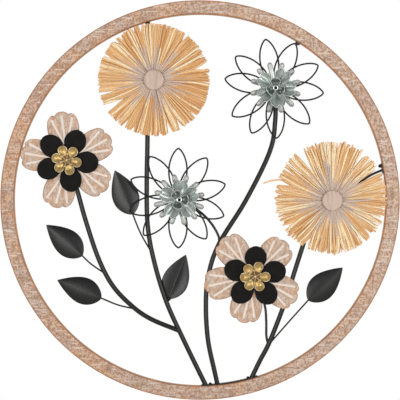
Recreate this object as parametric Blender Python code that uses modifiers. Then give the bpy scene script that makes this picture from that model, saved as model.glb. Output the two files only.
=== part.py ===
"""A round wall panel: a bunch of metal and raffia flowers inside a whitewashed wooden ring.

Metres, +Z up. The panel lies in the XZ plane and its front faces -Y. The origin is on the ring's flat
back, in the middle of its top, where the panel meets the wall. "Forward" is a distance from the wall.
"""
import math

import bmesh
import bpy
from mathutils import Matrix, Vector

# Ring
RING_DIAMETER = 0.700
RING_WIDTH = 0.024
RING_DEPTH = 0.015
RING_CHAMFER = 0.0012
RING_STEPS = 60

# Room between pieces that touch, and between the ring and the circle that the bunch fills
GAP = 0.0003
BUNCH_ROOM = 0.002

# Steel stock
STEM_DIAMETER = 0.008
ROD_DIAMETER = 0.004
STALK_DIAMETER = 0.0025
WIRE_DIAMETER = 0.0025
SHEET = 0.0009
STEM_STANDOFF = 0.0025

# Fixings on the ring's inner wall
STRIP_THICKNESS = 0.0018
STRIP_DEPTH = 0.010
BASE_STRIP_FROM = -89.6
BASE_STRIP_TO = -71.9
SIDE_PLATE_FROM = 8.2
SIDE_PLATE_TO = 11.4
SHANK_DIAMETER = 0.0030
SHANK_LENGTH = 0.012
BASE_SCREW_HEAD = (0.0058, 0.0028)
SIDE_SCREW_HEAD = (0.0070, 0.0050)
PETAL_SCREW_HEAD = (0.0096, 0.0050)

# Leaves
LEAF_LENGTH = 0.084
LEAF_WIDTH = 0.047
LEAF_FOLD = 0.0045
WELDED_LEAF_FOLD = 0.0030
STALK_UNDER_LEAF = 0.014

# Wire flowers
STAR_REACH = 0.0870
STAR_PETAL_WIDTH = 0.0318
STAR_HUB = 0.009
LOBES_REACH = 0.0445
LOBE_WIDTH = 0.0085
CUP_REACH = 0.0355
CUP_PETAL_WIDTH = 0.0265
ROSETTE_REACH = 0.0160
ROSETTE_LOBE_WIDTH = 0.0180
EYELET_DIAMETER = 0.0100
EYELET_SHANK = 0.0060
EYELET_BORE = 0.0044
EYELET_HEAD = 0.0018

# Blossoms
LEFT_BLOSSOM_REACH = 0.084
LOW_BLOSSOM_REACH = 0.0855
BLOSSOM_PETAL_WIDTH = 0.056
BLOSSOM_DROP = 0.0105
BLOSSOM_VEIN = 0.0012
BLOSSOM_SWEEP = 0.0020
BLACK_REACH = 0.0555
BLACK_PETAL_WIDTH = 0.0385
GOLD_REACH = 0.0270
GOLD_PETAL_WIDTH = 0.0170
STAMEN_REACH = 0.0110
STAMEN_WIDTH = 0.0026
BALL_DIAMETER = 0.0050

# Raffia flowers
RAFFIA_RADIUS = 0.0985
RAFFIA_THICKNESS = 0.0060
RAFFIA_OVER_RING = 0.0010
RAFFIA_TUFTS = 24
RAFFIA_LEAST_NOTCH = 0.02  # shares of the radius that the rim falls short by
RAFFIA_MOST_NOTCH = 0.11
BUTTON_DIAMETER = 0.035
BUTTON_THICKNESS = 0.007
BUTTON_EDGE = 0.0018

# Values that follow from those above
RING_RADIUS = RING_DIAMETER / 2
INNER_RADIUS = RING_RADIUS - RING_WIDTH
BUNCH_RADIUS = INNER_RADIUS - BUNCH_ROOM
CENTRE_Z = RING_WIDTH / 2 - RING_RADIUS
STRIP_OUTER = INNER_RADIUS - GAP
STRIP_INNER = STRIP_OUTER - STRIP_THICKNESS
STEM_AXIS = STEM_STANDOFF + STEM_DIAMETER / 2
STEM_FRONT = STEM_STANDOFF + STEM_DIAMETER

# Where things are, as shares of the bunch's radius to the right of and above the ring's centre
LEFT_RAFFIA = (-0.249, 0.648)
RIGHT_RAFFIA = (0.714, -0.003)
LOW_BLOSSOM = (0.298, -0.414)
LOW_WIRE = (-0.123, 0.010)
LEFT_BLOSSOM_TOUCH = 165.2  # degrees round the ring where a petal of the left blossom meets it
HIGH_WIRE_TOUCH = 58.7  # and where a petal of the high wire flower lies on its screw

# Angles of the petals, in degrees from +X
HIGH_STAR_FRONT = (99.7, 27.7, -44.7, -116.5, 168.7)
HIGH_STAR_BACK = (64.7, -5.2, -86.8, -146.8, 140.0)
LOW_STAR_FRONT = (88.6, 16.0, -54.6, -132.1, 158.2)
LOW_STAR_BACK = (53.5, -21.0, -88.6, -164.8, 123.7)
HIGH_LOBES = tuple(14 + 30 * turn for turn in range(12))
LOW_LOBES = tuple(12 + 30 * turn for turn in range(12))
HIGH_CUP = (147, 60, -6, -79, -148)
LOW_CUP = (86, 22, -48, -124, 158)
HIGH_ROSETTE = (90, -30, 210)
LOW_ROSETTE = (122, 0, -106)
LEFT_PETALS = (170.7, 98, 28, -36, -105)
LOW_PETALS = (129.5, 45, -29, -103, -167)
LEFT_BLACK = (137, 66, -6, -79, -151)
LOW_BLACK = (88, 14, -56, -130, 162)
LEFT_GOLD = (113, 52, -13, -73.5, -135, 169)
LOW_GOLD = (132, 72, -1, -66, -125, -176.5)
ZINC_SHIFT_HIGH = (0.0026, 0.0010)  # the zinc centres sit a little off their wire stars
ZINC_SHIFT_LOW = (0.0035, -0.0028)
PETALS_SHIFT_LEFT = (0.0012, 0.0)  # and the whitewashed petals off their blossoms' middles
PETALS_SHIFT_LOW = (-0.0030, 0.0014)

WHITEWASH = ("whitewash", (0.64, 0.49, 0.38), 0.75, 0.0)
BLACK_STEEL = ("black_steel", (0.022, 0.022, 0.021), 0.38, 0.0)
MATT_BLACK = ("matt_black", (0.012, 0.012, 0.012), 0.70, 0.0)
ZINC = ("zinc", (0.42, 0.47, 0.45), 0.38, 0.85)
GOLD = ("gold", (0.62, 0.43, 0.17), 0.38, 0.90)
STRAW = ("straw", (0.80, 0.50, 0.20), 0.80, 0.0)
BUTTON_WOOD = ("button_wood", (0.62, 0.50, 0.40), 0.70, 0.0)


def finish(sort):
    """The material of one sort of surface, made once."""
    name, colour, roughness, metallic = sort
    made = bpy.data.materials.get(name)
    if made:
        return made
    made = bpy.data.materials.new(name)
    made.use_nodes = True
    made.diffuse_color = (*colour, 1)
    shader = made.node_tree.nodes["Principled BSDF"]
    shader.inputs["Base Color"].default_value = (*colour, 1)
    shader.inputs["Roughness"].default_value = roughness
    shader.inputs["Metallic"].default_value = metallic
    return made


def new_collection(name):
    made = bpy.data.collections.new(name)
    bpy.context.scene.collection.children.link(made)
    return made


def new_object(name, data, sort=None, parent=None):
    """An object in the panel's collection, or among the cutters if it has no finish."""
    made = bpy.data.objects.new(name, data)
    made.parent = parent
    if sort:
        made.data.materials.append(finish(sort))
        PANEL.objects.link(made)
    else:
        made.hide_render = True
        made.display_type = "WIRE"
        CUTTERS.objects.link(made)
    return made


def new_mesh(name, shape):
    """The mesh of a bmesh, shaded smooth up to 40 degrees."""
    mesh = bpy.data.meshes.new(name)
    shape.to_mesh(mesh)
    shape.free()
    mesh.shade_smooth()
    mesh.set_sharp_from_angle(angle=math.radians(40))
    return mesh


def at(shares, forward):
    """The point at these shares of the bunch's radius from the ring's centre, this far from the wall."""
    return Vector((shares[0] * BUNCH_RADIUS, -forward, CENTRE_Z + shares[1] * BUNCH_RADIUS))


def round_ring(degrees, radius, forward):
    """The point at this angle and radius round the ring's centre."""
    angle = math.radians(degrees)
    return Vector((radius * math.cos(angle), -forward, CENTRE_Z + radius * math.sin(angle)))


def direction(degrees):
    return Vector((math.cos(math.radians(degrees)), 0, math.sin(math.radians(degrees))))


def smooth_route(points, steps):
    """Points on the smooth curve through the given ones, with so many steps between each two."""
    knots = [2 * points[0] - points[1], *points, 2 * points[-1] - points[-2]]
    route = []
    for before, start, end, after in zip(knots, knots[1:], knots[2:], knots[3:]):
        for step in range(steps):
            t = step / steps
            bend = 2 * before - 5 * start + 4 * end - after
            twist = 3 * start - before - 3 * end + after
            route.append((2 * start + (end - before) * t + bend * t**2 + twist * t**3) / 2)
    return route + [points[-1]]


def height_on(route, share):
    """The point of a route that is at this share of the bunch's radius above the ring's centre."""
    height = CENTRE_Z + share * BUNCH_RADIUS
    for start, end in zip(route, route[1:]):
        if min(start.z, end.z) <= height <= max(start.z, end.z):
            return start.lerp(end, (height - start.z) / (end.z - start.z))
    return min(route, key=lambda point: abs(point.z - height))


def as_mesh(curve):
    """Turns a curve object into a mesh object with welded caps."""
    bpy.context.view_layer.update()
    solid = curve.evaluated_get(bpy.context.evaluated_depsgraph_get())
    mesh = bpy.data.meshes.new_from_object(solid)
    shape = bmesh.new()
    shape.from_mesh(mesh)
    bmesh.ops.remove_doubles(shape, verts=shape.verts, dist=1e-6)
    bmesh.ops.recalc_face_normals(shape, faces=shape.faces)
    shape.to_mesh(mesh)
    shape.free()
    mesh.shade_smooth()
    mesh.set_sharp_from_angle(angle=math.radians(50))
    name = curve.name
    home = curve.users_collection[0]
    made = bpy.data.objects.new(name, mesh)
    made.matrix_world = curve.matrix_world
    made.hide_render = curve.hide_render
    made.display_type = curve.display_type
    home.objects.link(made)
    bpy.data.objects.remove(curve)
    made.name = name
    return made


def tube(name, route, diameter, sides, sort=None, closed=False):
    """A round bar along a route, as a bevelled curve with so many sides."""
    data = bpy.data.curves.new(name, "CURVE")
    data.dimensions = "3D"
    data.bevel_depth = diameter / 2
    data.bevel_resolution = (sides - 4) // 2
    data.use_fill_caps = True
    spline = data.splines.new("POLY")
    spline.points.add(len(route) - 1)
    for point, place in zip(spline.points, route):
        point.co = (*place, 1)
    spline.use_cyclic_u = closed
    return new_object(name, data, sort)


def bar(name, route, diameter, sides, sort=None):
    return as_mesh(tube(name, route, diameter, sides, sort))


def cut(piece, cutter):
    """Takes a cutter's form out of a piece."""
    modifier = piece.modifiers.new(cutter.name, "BOOLEAN")
    modifier.object = cutter
    modifier.operation = "DIFFERENCE"
    modifier.solver = "EXACT"


def arc_bar(name, first, last, inner, outer, forward, depth, sort=None):
    """A flat bar bent round the ring's centre from one angle to another, as an extruded outline."""
    steps = max(2, round(abs(last - first) / 3))
    turns = [math.radians(first + (last - first) * step / steps) for step in range(steps + 1)]
    outline = [(inner * math.cos(turn), inner * math.sin(turn)) for turn in turns]
    outline += [(outer * math.cos(turn), outer * math.sin(turn)) for turn in reversed(turns)]
    data = bpy.data.curves.new(name, "CURVE")
    data.dimensions = "2D"
    data.fill_mode = "BOTH"
    data.extrude = depth / 2
    spline = data.splines.new("POLY")
    spline.points.add(len(outline) - 1)
    for point, (across, up) in zip(spline.points, outline):
        point.co = (across, up, 0, 1)
    spline.use_cyclic_u = True
    made = new_object(name, data, sort)
    made.matrix_world = Matrix.Translation((0, -forward, CENTRE_Z)) @ Matrix.Rotation(math.pi / 2, 4, "X")
    return as_mesh(made)


def turned(name, profile, steps, sort=None, parent=None, closed=False):
    """A profile of (radius, height) points, outer side downwards, turned round local Z."""
    mesh = bpy.data.meshes.new(name)
    edges = [(point, point + 1) for point in range(len(profile) - 1)]
    if closed:
        edges.append((len(profile) - 1, 0))
    mesh.from_pydata([(radius, 0, height) for radius, height in profile], edges, [])
    made = new_object(name, mesh, sort, parent)
    screw = made.modifiers.new("turn", "SCREW")
    screw.steps = steps
    screw.render_steps = steps
    screw.use_merge_vertices = True
    screw.merge_threshold = 1e-5
    screw.use_smooth_shade = True
    return made


def face_front(made, place):
    """Puts a turned piece at a place with its local Z towards the front."""
    made.matrix_local = Matrix.Translation(place) @ Matrix.Rotation(math.pi / 2, 4, "X")


def face_centre(made, degrees, radius, forward):
    """Puts a turned piece at the ring with its local Z towards the ring's centre."""
    inward = -direction(degrees)
    made.matrix_world = Matrix.Translation(round_ring(degrees, radius, forward)) @ (
        inward.to_track_quat("Z", "Y").to_matrix().to_4x4())


def flower_empty(name, centre):
    """The point on the wall behind a flower's centre, which its plates are placed from."""
    made = bpy.data.objects.new(name, None)
    made.location = (centre.x, 0, centre.z)
    PANEL.objects.link(made)
    return made


def stamped_flower(name, parent, place, angles, sort, *, hub, reach, width, waist, belly, shoulder, drop,
                   hole=0.0, lobes=1, scallop=0.0, sweep=0.0, cup=0.0, vein=0.0, dish=0.0, rows=3,
                   columns=4, sheet=SHEET):
    """A flower stamped from sheet, its petals at the given angles round one flat hub.

    place is the middle of the hub's front. width is a petal's greatest, at the share belly of its length;
    waist and shoulder are its shares of that at the hub and at the end. drop is how much shorter it is at
    its corners, and scallop cuts the end into lobes. sweep lifts the tip, cup the sides and vein a ridge
    along each lobe. dish is how far the hub's middle is pressed back.
    """
    turns = sorted(angles)
    shape = bmesh.new()
    for order, angle in enumerate(turns):
        to_next = (turns[(order + 1) % len(turns)] - angle) % 360 / 2
        to_last = (angle - turns[order - 1]) % 360 / 2
        along = direction(angle)
        across = direction(angle + 90)
        grid = bmesh.ops.create_grid(shape, x_segments=rows + 1, y_segments=columns, size=1)
        for vertex in grid["verts"]:
            row = round((vertex.co.x + 1) / 2 * (rows + 1))
            side = vertex.co.y
            if row < 2:
                spoke = direction(angle + side * (to_next if side > 0 else to_last))
                vertex.co = spoke * (hub if row else hole)
                vertex.co.y += 0 if row else dish
                continue
            share = (row - 1) / rows
            lobe = abs(math.sin(lobes * math.pi * (side + 1) / 2))
            end = reach - drop * side**2 - scallop * (1 - lobe)
            if share < belly:
                half = 1 - (1 - waist) * ((belly - share) / belly) ** 2
            else:
                half = 1 - (1 - shoulder) * ((share - belly) / (1 - belly)) ** 2
            lift = sweep * share**2 + cup * side**2 * math.sin(math.pi * share * 0.75)
            lift += vein * lobe * math.sin(math.pi * share**0.8)
            vertex.co = along * (hub + (end - hub) * share) + across * (side * half * width / 2)
            vertex.co.y -= lift
    bmesh.ops.remove_doubles(shape, verts=shape.verts, dist=1e-5)
    made = new_object(name, new_mesh(name, shape), sort, parent)
    made.location = place
    wall = made.modifiers.new("sheet", "SOLIDIFY")
    wall.thickness = sheet
    wall.offset = -1
    return made


def leaf(name, base, degrees, front, fold):
    """A pointed leaf of sheet, its edges this fold behind its midrib.

    Its half width at the share u of its length is sin(pi * u ** 0.75) ** 0.9 of the greatest. Where the
    fold is forward, which a negative value means, the leaf leans until its left half is flat.
    """
    lean = math.atan2(min(fold, 0), LEAF_WIDTH / 2)
    shape = bmesh.new()
    grid = bmesh.ops.create_grid(shape, x_segments=7, y_segments=4, size=1)
    for vertex in grid["verts"]:
        share = (vertex.co.x + 1) / 2
        side = vertex.co.y
        half = LEAF_WIDTH / 2 * max(0.0, math.sin(math.pi * share**0.75)) ** 0.9
        back = fold * abs(side) * half / (LEAF_WIDTH / 2)
        vertex.co = (share * LEAF_LENGTH, back, side * half)
    bmesh.ops.remove_doubles(shape, verts=shape.verts, dist=1e-5)
    made = new_object(name, new_mesh(name, shape), BLACK_STEEL)
    made.location = (base.x, -front, base.z)
    made.rotation_euler = (lean, -math.radians(degrees), 0)
    wall = made.modifiers.new("sheet", "SOLIDIFY")
    wall.thickness = SHEET
    wall.offset = -1
    return made


def leaf_stalk(name, weld, bend, base, degrees, beside):
    """The wire from a weld on a stem to the leaf's base and on into its fold."""
    inside = base + direction(degrees) * STALK_UNDER_LEAF
    made = bar(name, smooth_route([weld, bend, base, inside], 2), STALK_DIAMETER, 4, BLACK_STEEL)
    cut(made, beside)
    return made


def star_route(centre, angles, forward):
    """The outline of five petals that one wire bends round.

    From hub to tip a petal's distance out goes as 1 - cos(phi) and its half width as sin(phi) ** 1.4.
    """
    steps = 4
    start = 0.62
    route = []
    for angle in sorted(angles):
        for step in range(-steps, steps + 1):
            phi = math.pi - (math.pi - start) * abs(step) / steps
            out = STAR_HUB + (STAR_REACH - STAR_HUB) * (1 - math.cos(phi)) / 2
            half = STAR_PETAL_WIDTH / 2 * abs(math.sin(phi)) ** 1.4
            aside = half * (1 if step > 0 else -1)
            flat = direction(angle) * out + direction(angle + 90) * aside
            route.append(Vector((centre.x + flat.x, -forward, centre.z + flat.z)))
    return route


def wire_flower(name, centre, shift, front_angles, back_angles, lobe_angles, cup_angles, rosette_angles):
    """Two wire stars on the stem's front, then three zinc plates on a tubular rivet."""
    back_star = STEM_FRONT + GAP + WIRE_DIAMETER / 2
    front_star = back_star + WIRE_DIAMETER + GAP
    tube(f"{name}_wire_star_back", star_route(centre, back_angles, back_star), WIRE_DIAMETER, 4,
         BLACK_STEEL, closed=True)
    tube(f"{name}_wire_star_front", star_route(centre, front_angles, front_star), WIRE_DIAMETER, 4,
         BLACK_STEEL, closed=True)
    middle = flower_empty(f"{name}_wire_centre", centre + Vector((shift[0], 0, shift[1])))
    hole = EYELET_SHANK / 2 + GAP
    lobes_front = front_star + WIRE_DIAMETER / 2 + GAP + SHEET
    stamped_flower(f"{name}_zinc_lobes", middle, (0, -lobes_front, 0), lobe_angles, ZINC, hole=hole,
                   hub=0.013, reach=LOBES_REACH, width=LOBE_WIDTH, waist=0.75, belly=0.7, shoulder=0.85,
                   drop=0.0035, sweep=0.0030, cup=0.0010, rows=1, columns=2)
    cup_front = lobes_front + GAP + SHEET
    stamped_flower(f"{name}_zinc_cup", middle, (0, -cup_front, 0), cup_angles, ZINC, hole=hole,
                   hub=0.0085, reach=CUP_REACH, width=CUP_PETAL_WIDTH, waist=0.42, belly=0.72,
                   shoulder=0.85, drop=0.0060, lobes=2, scallop=0.0040, sweep=0.0070, cup=0.0030, rows=2)
    rosette_front = cup_front + GAP + SHEET
    stamped_flower(f"{name}_zinc_rosette", middle, (0, -rosette_front, 0), rosette_angles, ZINC, hole=hole,
                   hub=0.0060, reach=ROSETTE_REACH, width=ROSETTE_LOBE_WIDTH, waist=0.55, belly=0.55,
                   shoulder=0.72, drop=0.0050, sweep=0.0060, cup=0.0020, rows=2)
    eyelet(f"{name}_eyelet", middle, rosette_front + GAP)


def eyelet(name, parent, under_head):
    """A tubular rivet, bored through, whose shank passes the plates and meets the stem's front."""
    bore = EYELET_BORE / 2
    shank = EYELET_SHANK / 2
    head = EYELET_DIAMETER / 2
    length = under_head - STEM_FRONT - GAP
    profile = [(bore, -length), (bore, EYELET_HEAD * 0.6), (bore + 0.0006, EYELET_HEAD),
               (head * 0.75, EYELET_HEAD), (head, EYELET_HEAD * 0.4), (head, 0), (shank, 0),
               (shank, -length)]
    made = turned(name, profile, 8, ZINC, parent, closed=True)
    face_front(made, (0, -under_head, 0))


def blossom(name, centre, reach, shift, petal_angles, black_angles, gold_angles):
    """A whitewashed plate on the stem's front, a flat black plate, a gold cup and its stamens."""
    middle = flower_empty(f"{name}_centre", centre)
    hub = 0.014
    petals_front = STEM_FRONT + GAP + SHEET
    stamped_flower(f"{name}_petals", middle, (shift[0], -petals_front, shift[1]), petal_angles, WHITEWASH,
                   hub=hub, reach=reach, width=BLOSSOM_PETAL_WIDTH, waist=0.28, belly=0.74, shoulder=0.92,
                   drop=BLOSSOM_DROP, lobes=3, scallop=0.0035, sweep=BLOSSOM_SWEEP, vein=BLOSSOM_VEIN, columns=6)
    swept = BLOSSOM_SWEEP * ((BLACK_REACH - hub) / (LEFT_BLOSSOM_REACH - hub)) ** 2
    black_front = petals_front + swept + BLOSSOM_VEIN + GAP + SHEET
    stamped_flower(f"{name}_black", middle, (0, -black_front, 0), black_angles, MATT_BLACK, hub=0.0145,
                   reach=BLACK_REACH, width=BLACK_PETAL_WIDTH, waist=0.55, belly=0.50, shoulder=0.84,
                   drop=0.0110, sweep=0.0010, cup=0.0008, dish=0.0005, rows=2)
    gold_front = black_front + GAP + SHEET
    stamped_flower(f"{name}_gold", middle, (0, -gold_front, 0), gold_angles, GOLD, hub=0.0075,
                   reach=GOLD_REACH, width=GOLD_PETAL_WIDTH, waist=0.45, belly=0.66, shoulder=0.86,
                   drop=0.0045, sweep=0.0035, cup=0.0025, rows=2)
    stamens(f"{name}_stamens", middle, gold_front + GAP, gold_angles)


def stamens(name, parent, back, angles):
    """A small star of thin upswept stamens with a ball in its middle, in one piece."""
    front = back + SHEET
    star_angles = [angle + 30 for angle in angles]
    made = stamped_flower(name, parent, (0, -front, 0), star_angles, GOLD, hub=0.0030, reach=STAMEN_REACH,
                          width=STAMEN_WIDTH, waist=0.9, belly=0.6, shoulder=0.9, drop=0.0008,
                          sweep=0.0045, rows=2, columns=1)
    shape = bmesh.new()
    bmesh.ops.create_uvsphere(shape, u_segments=6, v_segments=4, radius=BALL_DIAMETER / 2)
    ball = new_object(f"{name}_ball", new_mesh(f"{name}_ball", shape), parent=parent)
    ball.location = (0, -front - BALL_DIAMETER * 0.3, 0)
    join = made.modifiers.new("ball", "BOOLEAN")
    join.object = ball
    join.operation = "UNION"
    join.solver = "EXACT"


def raffia_flower(name, centre):
    """A shallow cone of raffia with ragged tufts, over the stem and the ring, and a wooden button."""
    middle = flower_empty(f"{name}_raffia_centre", centre)
    hub_front = STEM_FRONT + GAP + RAFFIA_THICKNESS
    rise = RING_DEPTH + RAFFIA_OVER_RING - STEM_FRONT - GAP
    slope = rise / (RAFFIA_RADIUS * (1 - RAFFIA_MOST_NOTCH))
    points = 2 * RAFFIA_TUFTS
    shape = bmesh.new()
    grid = bmesh.ops.create_grid(shape, x_segments=2, y_segments=points, size=1)
    for vertex in grid["verts"]:
        out = round(vertex.co.x + 1)
        turn = round((vertex.co.y + 1) / 2 * points) % points
        if turn % 2:
            ragged = abs(math.sin(2.4 * turn))
            notch = RAFFIA_LEAST_NOTCH + (RAFFIA_MOST_NOTCH - RAFFIA_LEAST_NOTCH) * ragged
        else:
            notch = RAFFIA_LEAST_NOTCH * abs(math.sin(1.7 * turn))
        radius = RAFFIA_RADIUS * (0, 0.5, 1 - notch)[out]
        angle = 2 * math.pi * turn / points
        vertex.co = (radius * math.cos(angle), -slope * radius, radius * math.sin(angle))
    bmesh.ops.remove_doubles(shape, verts=shape.verts, dist=1e-5)
    fan = new_object(f"{name}_raffia_fan", new_mesh(f"{name}_raffia_fan", shape), STRAW, middle)
    fan.location = (0, -hub_front, 0)
    wall = fan.modifiers.new("thickness", "SOLIDIFY")
    wall.thickness = RAFFIA_THICKNESS
    wall.offset = -1
    radius = BUTTON_DIAMETER / 2
    button_back = hub_front + slope * radius + GAP
    profile = [(0, BUTTON_THICKNESS), (radius * 0.6, BUTTON_THICKNESS - BUTTON_EDGE * 0.3),
               (radius - BUTTON_EDGE, BUTTON_THICKNESS - BUTTON_EDGE * 0.7),
               (radius, BUTTON_THICKNESS - BUTTON_EDGE * 2), (radius, 0), (0, 0)]
    button = turned(f"{name}_raffia_button", profile, 12, BUTTON_WOOD, middle)
    face_front(button, (0, -button_back, 0))


def screw(name, degrees, seat, forward, head_size, through):
    """A round-headed screw driven outwards through the ring's inner wall, and its holes."""
    head, height = (head_size[0] / 2, head_size[1])
    shank = SHANK_DIAMETER / 2
    length = INNER_RADIUS + SHANK_LENGTH - seat
    profile = [(0, height), (head * 0.55, height * 0.88), (head * 0.9, height * 0.5), (head, 0),
               (shank, 0), (shank, -length), (0, -length)]
    face_centre(turned(name, profile, 6, BLACK_STEEL), degrees, seat, forward)
    hole = turned(f"{name}_hole", [(0, 0.001), (shank + GAP, 0.001), (shank + GAP, -length - GAP),
                                   (0, -length - GAP)], 8)
    face_centre(hole, degrees, seat, forward)
    for piece in through:
        cut(piece, hole)


for old in list(bpy.data.objects):
    bpy.data.objects.remove(old)
PANEL = new_collection("raffia_wall_panel")
CUTTERS = new_collection("cutters")

# The ring, a chamfered band turned round the ring's own centre. The flats of its inner wall touch the
# inner radius in their middles.
ring_back = RING_DEPTH - RING_CHAMFER
inner_corner = INNER_RADIUS / math.cos(math.pi / RING_STEPS)
ring = turned("frame_ring", [(inner_corner, 0), (inner_corner, ring_back),
                             (inner_corner + RING_CHAMFER, RING_DEPTH),
                             (RING_RADIUS - RING_CHAMFER, RING_DEPTH), (RING_RADIUS, ring_back),
                             (RING_RADIUS, 0)], RING_STEPS, WHITEWASH, closed=True)
face_front(ring, (0, 0, CENTRE_Z))

# Flat steel on its inner wall, and the room that the stems' ends leave to wall and steel
base_strip = arc_bar("base_strip", BASE_STRIP_FROM, BASE_STRIP_TO, STRIP_INNER, STRIP_OUTER, STEM_AXIS,
                     STRIP_DEPTH, BLACK_STEEL)
side_plate = arc_bar("side_plate", SIDE_PLATE_FROM, SIDE_PLATE_TO, STRIP_INNER, STRIP_OUTER, STEM_AXIS,
                     STRIP_DEPTH, BLACK_STEEL)
beyond = INNER_RADIUS + RING_WIDTH
base_room = arc_bar("base_room", BASE_STRIP_FROM - 4, BASE_STRIP_TO + 4, STRIP_INNER - GAP, beyond,
                    STEM_AXIS, 2 * STRIP_DEPTH)
side_room = arc_bar("side_room", SIDE_PLATE_FROM - 4, SIDE_PLATE_TO + 4, STRIP_INNER - GAP, beyond,
                    STEM_AXIS, 2 * STRIP_DEPTH)
top_room = arc_bar("top_room", 96, 118, INNER_RADIUS - GAP, beyond, STEM_AXIS, 2 * STRIP_DEPTH)

# Flower centres
high_tip = round_ring(HIGH_WIRE_TOUCH, INNER_RADIUS - GAP - PETAL_SCREW_HEAD[1], 0)
high_wire = high_tip - direction(HIGH_STAR_BACK[0]) * STAR_REACH
low_wire = at(LOW_WIRE, 0)
left_blossom = round_ring(LEFT_BLOSSOM_TOUCH, INNER_RADIUS - GAP, 0)
left_blossom -= direction(LEFT_PETALS[0]) * LEFT_BLOSSOM_REACH
left_blossom -= Vector((PETALS_SHIFT_LEFT[0], 0, PETALS_SHIFT_LEFT[1]))
low_blossom = at(LOW_BLOSSOM, 0)
left_raffia = at(LEFT_RAFFIA, 0)
right_raffia = at(RIGHT_RAFFIA, 0)


def stem_route(shares, start=None, forward=STEM_AXIS):
    """A route in the stems' plane, from a flower's centre if one is given."""
    points = [at(pair, forward) for pair in shares]
    if start is not None:
        points.insert(0, Vector((start.x, -forward, start.z)))
    return points


# Stems from their flowers down to the ring or to the stem that they are welded on
left_route = smooth_route(stem_route([
    (-0.284, 1.020), (-0.284, 0.649), (-0.285, 0.325), (-0.289, 0.081), (-0.284, -0.135),
    (-0.252, -0.320), (-0.185, -0.545), (-0.086, -0.765), (0.036, -1.015)]), 2)
wire_route = smooth_route(stem_route([
    (0.408, 0.434), (0.378, 0.262), (0.249, -0.001), (0.103, -0.238), (0.046, -0.406), (0.032, -0.568),
    (0.043, -0.757), (0.078, -0.925), (0.102, -1.030)],
    high_wire + Vector((ZINC_SHIFT_HIGH[0], 0, ZINC_SHIFT_HIGH[1]))), 2)
right_route = smooth_route(stem_route([
    (0.600, -0.119), (0.556, -0.254), (0.513, -0.388), (0.460, -0.557), (0.378, -0.768), (0.324, -0.873),
    (0.273, -0.978)], right_raffia), 2)
blossom_route = smooth_route(stem_route([
    (-0.671, 0.070), (-0.620, -0.112), (-0.549, -0.321), (-0.471, -0.468), (-0.364, -0.579),
    (-0.263, -0.647)], left_blossom) + [height_on(left_route, -0.709)], 2)

stems = {}
for name, route in (("stem_left_raffia", left_route), ("stem_left_blossom", blossom_route),
                    ("stem_wire_flower", wire_route), ("stem_right_raffia", right_route)):
    stems[name] = bar(name, route, STEM_DIAMETER, 6, BLACK_STEEL)
    stems[f"{name}_room"] = bar(f"{name}_room", route, STEM_DIAMETER + 2 * GAP, 6)
for name in ("stem_left_raffia", "stem_wire_flower", "stem_right_raffia"):
    cut(stems[name], base_room)
cut(stems["stem_left_raffia"], top_room)
cut(stems["stem_left_blossom"], stems["stem_left_raffia_room"])

# Thin rods, whose flower ends come forward until they lie as far out as the stems' fronts
rod_front = STEM_FRONT - ROD_DIAMETER / 2
low_blossom_rod = smooth_route([
    Vector((low_blossom.x, -rod_front, low_blossom.z)), at((0.349, -0.563), STEM_AXIS),
    at((0.359, -0.649), STEM_AXIS), at((0.360, -0.736), STEM_AXIS), height_on(right_route, -0.785)], 2)
rod = bar("rod_low_blossom", low_blossom_rod, ROD_DIAMETER, 6, BLACK_STEEL)
cut(rod, stems["stem_right_raffia_room"])
low_zinc = low_wire + Vector((ZINC_SHIFT_LOW[0], 0, ZINC_SHIFT_LOW[1]))
low_wire_rod = smooth_route([
    Vector((low_zinc.x, -rod_front, low_zinc.z)), at((-0.006, -0.060), STEM_AXIS),
    at((0.059, -0.124), STEM_AXIS), at((0.100, -0.195), STEM_AXIS), height_on(wire_route, -0.240)], 2)
rod = bar("rod_low_wire", low_wire_rod, ROD_DIAMETER, 6, BLACK_STEEL)
cut(rod, stems["stem_wire_flower_room"])
side_rod = smooth_route([
    round_ring(9.4, INNER_RADIUS, STEM_AXIS), at((0.921, 0.132), STEM_AXIS), at((0.832, 0.072), STEM_AXIS),
    height_on(right_route, -0.035)], 2)
rod = bar("rod_right_raffia", side_rod, ROD_DIAMETER, 6, BLACK_STEEL)
cut(rod, side_room)
cut(rod, stems["stem_right_raffia_room"])

# Leaves: base, angle, and for those on a stalk its bend, the stem it is welded on and the height there
LEAVES = (
    ("1", (-0.364, -0.079), 112.2, (-0.322, -0.181), "stem_left_raffia", left_route, -0.292),
    ("2", (-0.637, -0.304), 139.2, (-0.591, -0.347), "stem_left_blossom", blossom_route, -0.402),
    ("3", (-0.534, -0.533), 157.6, (-0.445, -0.569), "stem_left_blossom", blossom_route, -0.592),
    ("5", (0.586, -0.545), 43.7, (0.484, -0.658), "stem_right_raffia", right_route, -0.790),
)
slope = math.atan2(LEAF_FOLD, LEAF_WIDTH / 2)
leaf_front = STEM_AXIS + (STALK_DIAMETER / 2 + GAP + SHEET) / math.cos(slope)  # the stalk lies in the fold
for number, base, degrees, bend, stem, route, weld in LEAVES:
    foot = at(base, STEM_AXIS)
    leaf(f"leaf_{number}", foot, degrees, leaf_front, LEAF_FOLD)
    leaf_stalk(f"leaf_stalk_{number}", height_on(route, weld), at(bend, STEM_AXIS), foot, degrees,
               stems[f"{stem}_room"])
welded_foot = height_on(left_route, -0.538) + Vector((STEM_DIAMETER * 0.65, 0, 0))
leaf("leaf_4", welded_foot, 68.5, STEM_STANDOFF - GAP, -WELDED_LEAF_FOLD)  # its left half passes behind

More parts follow.
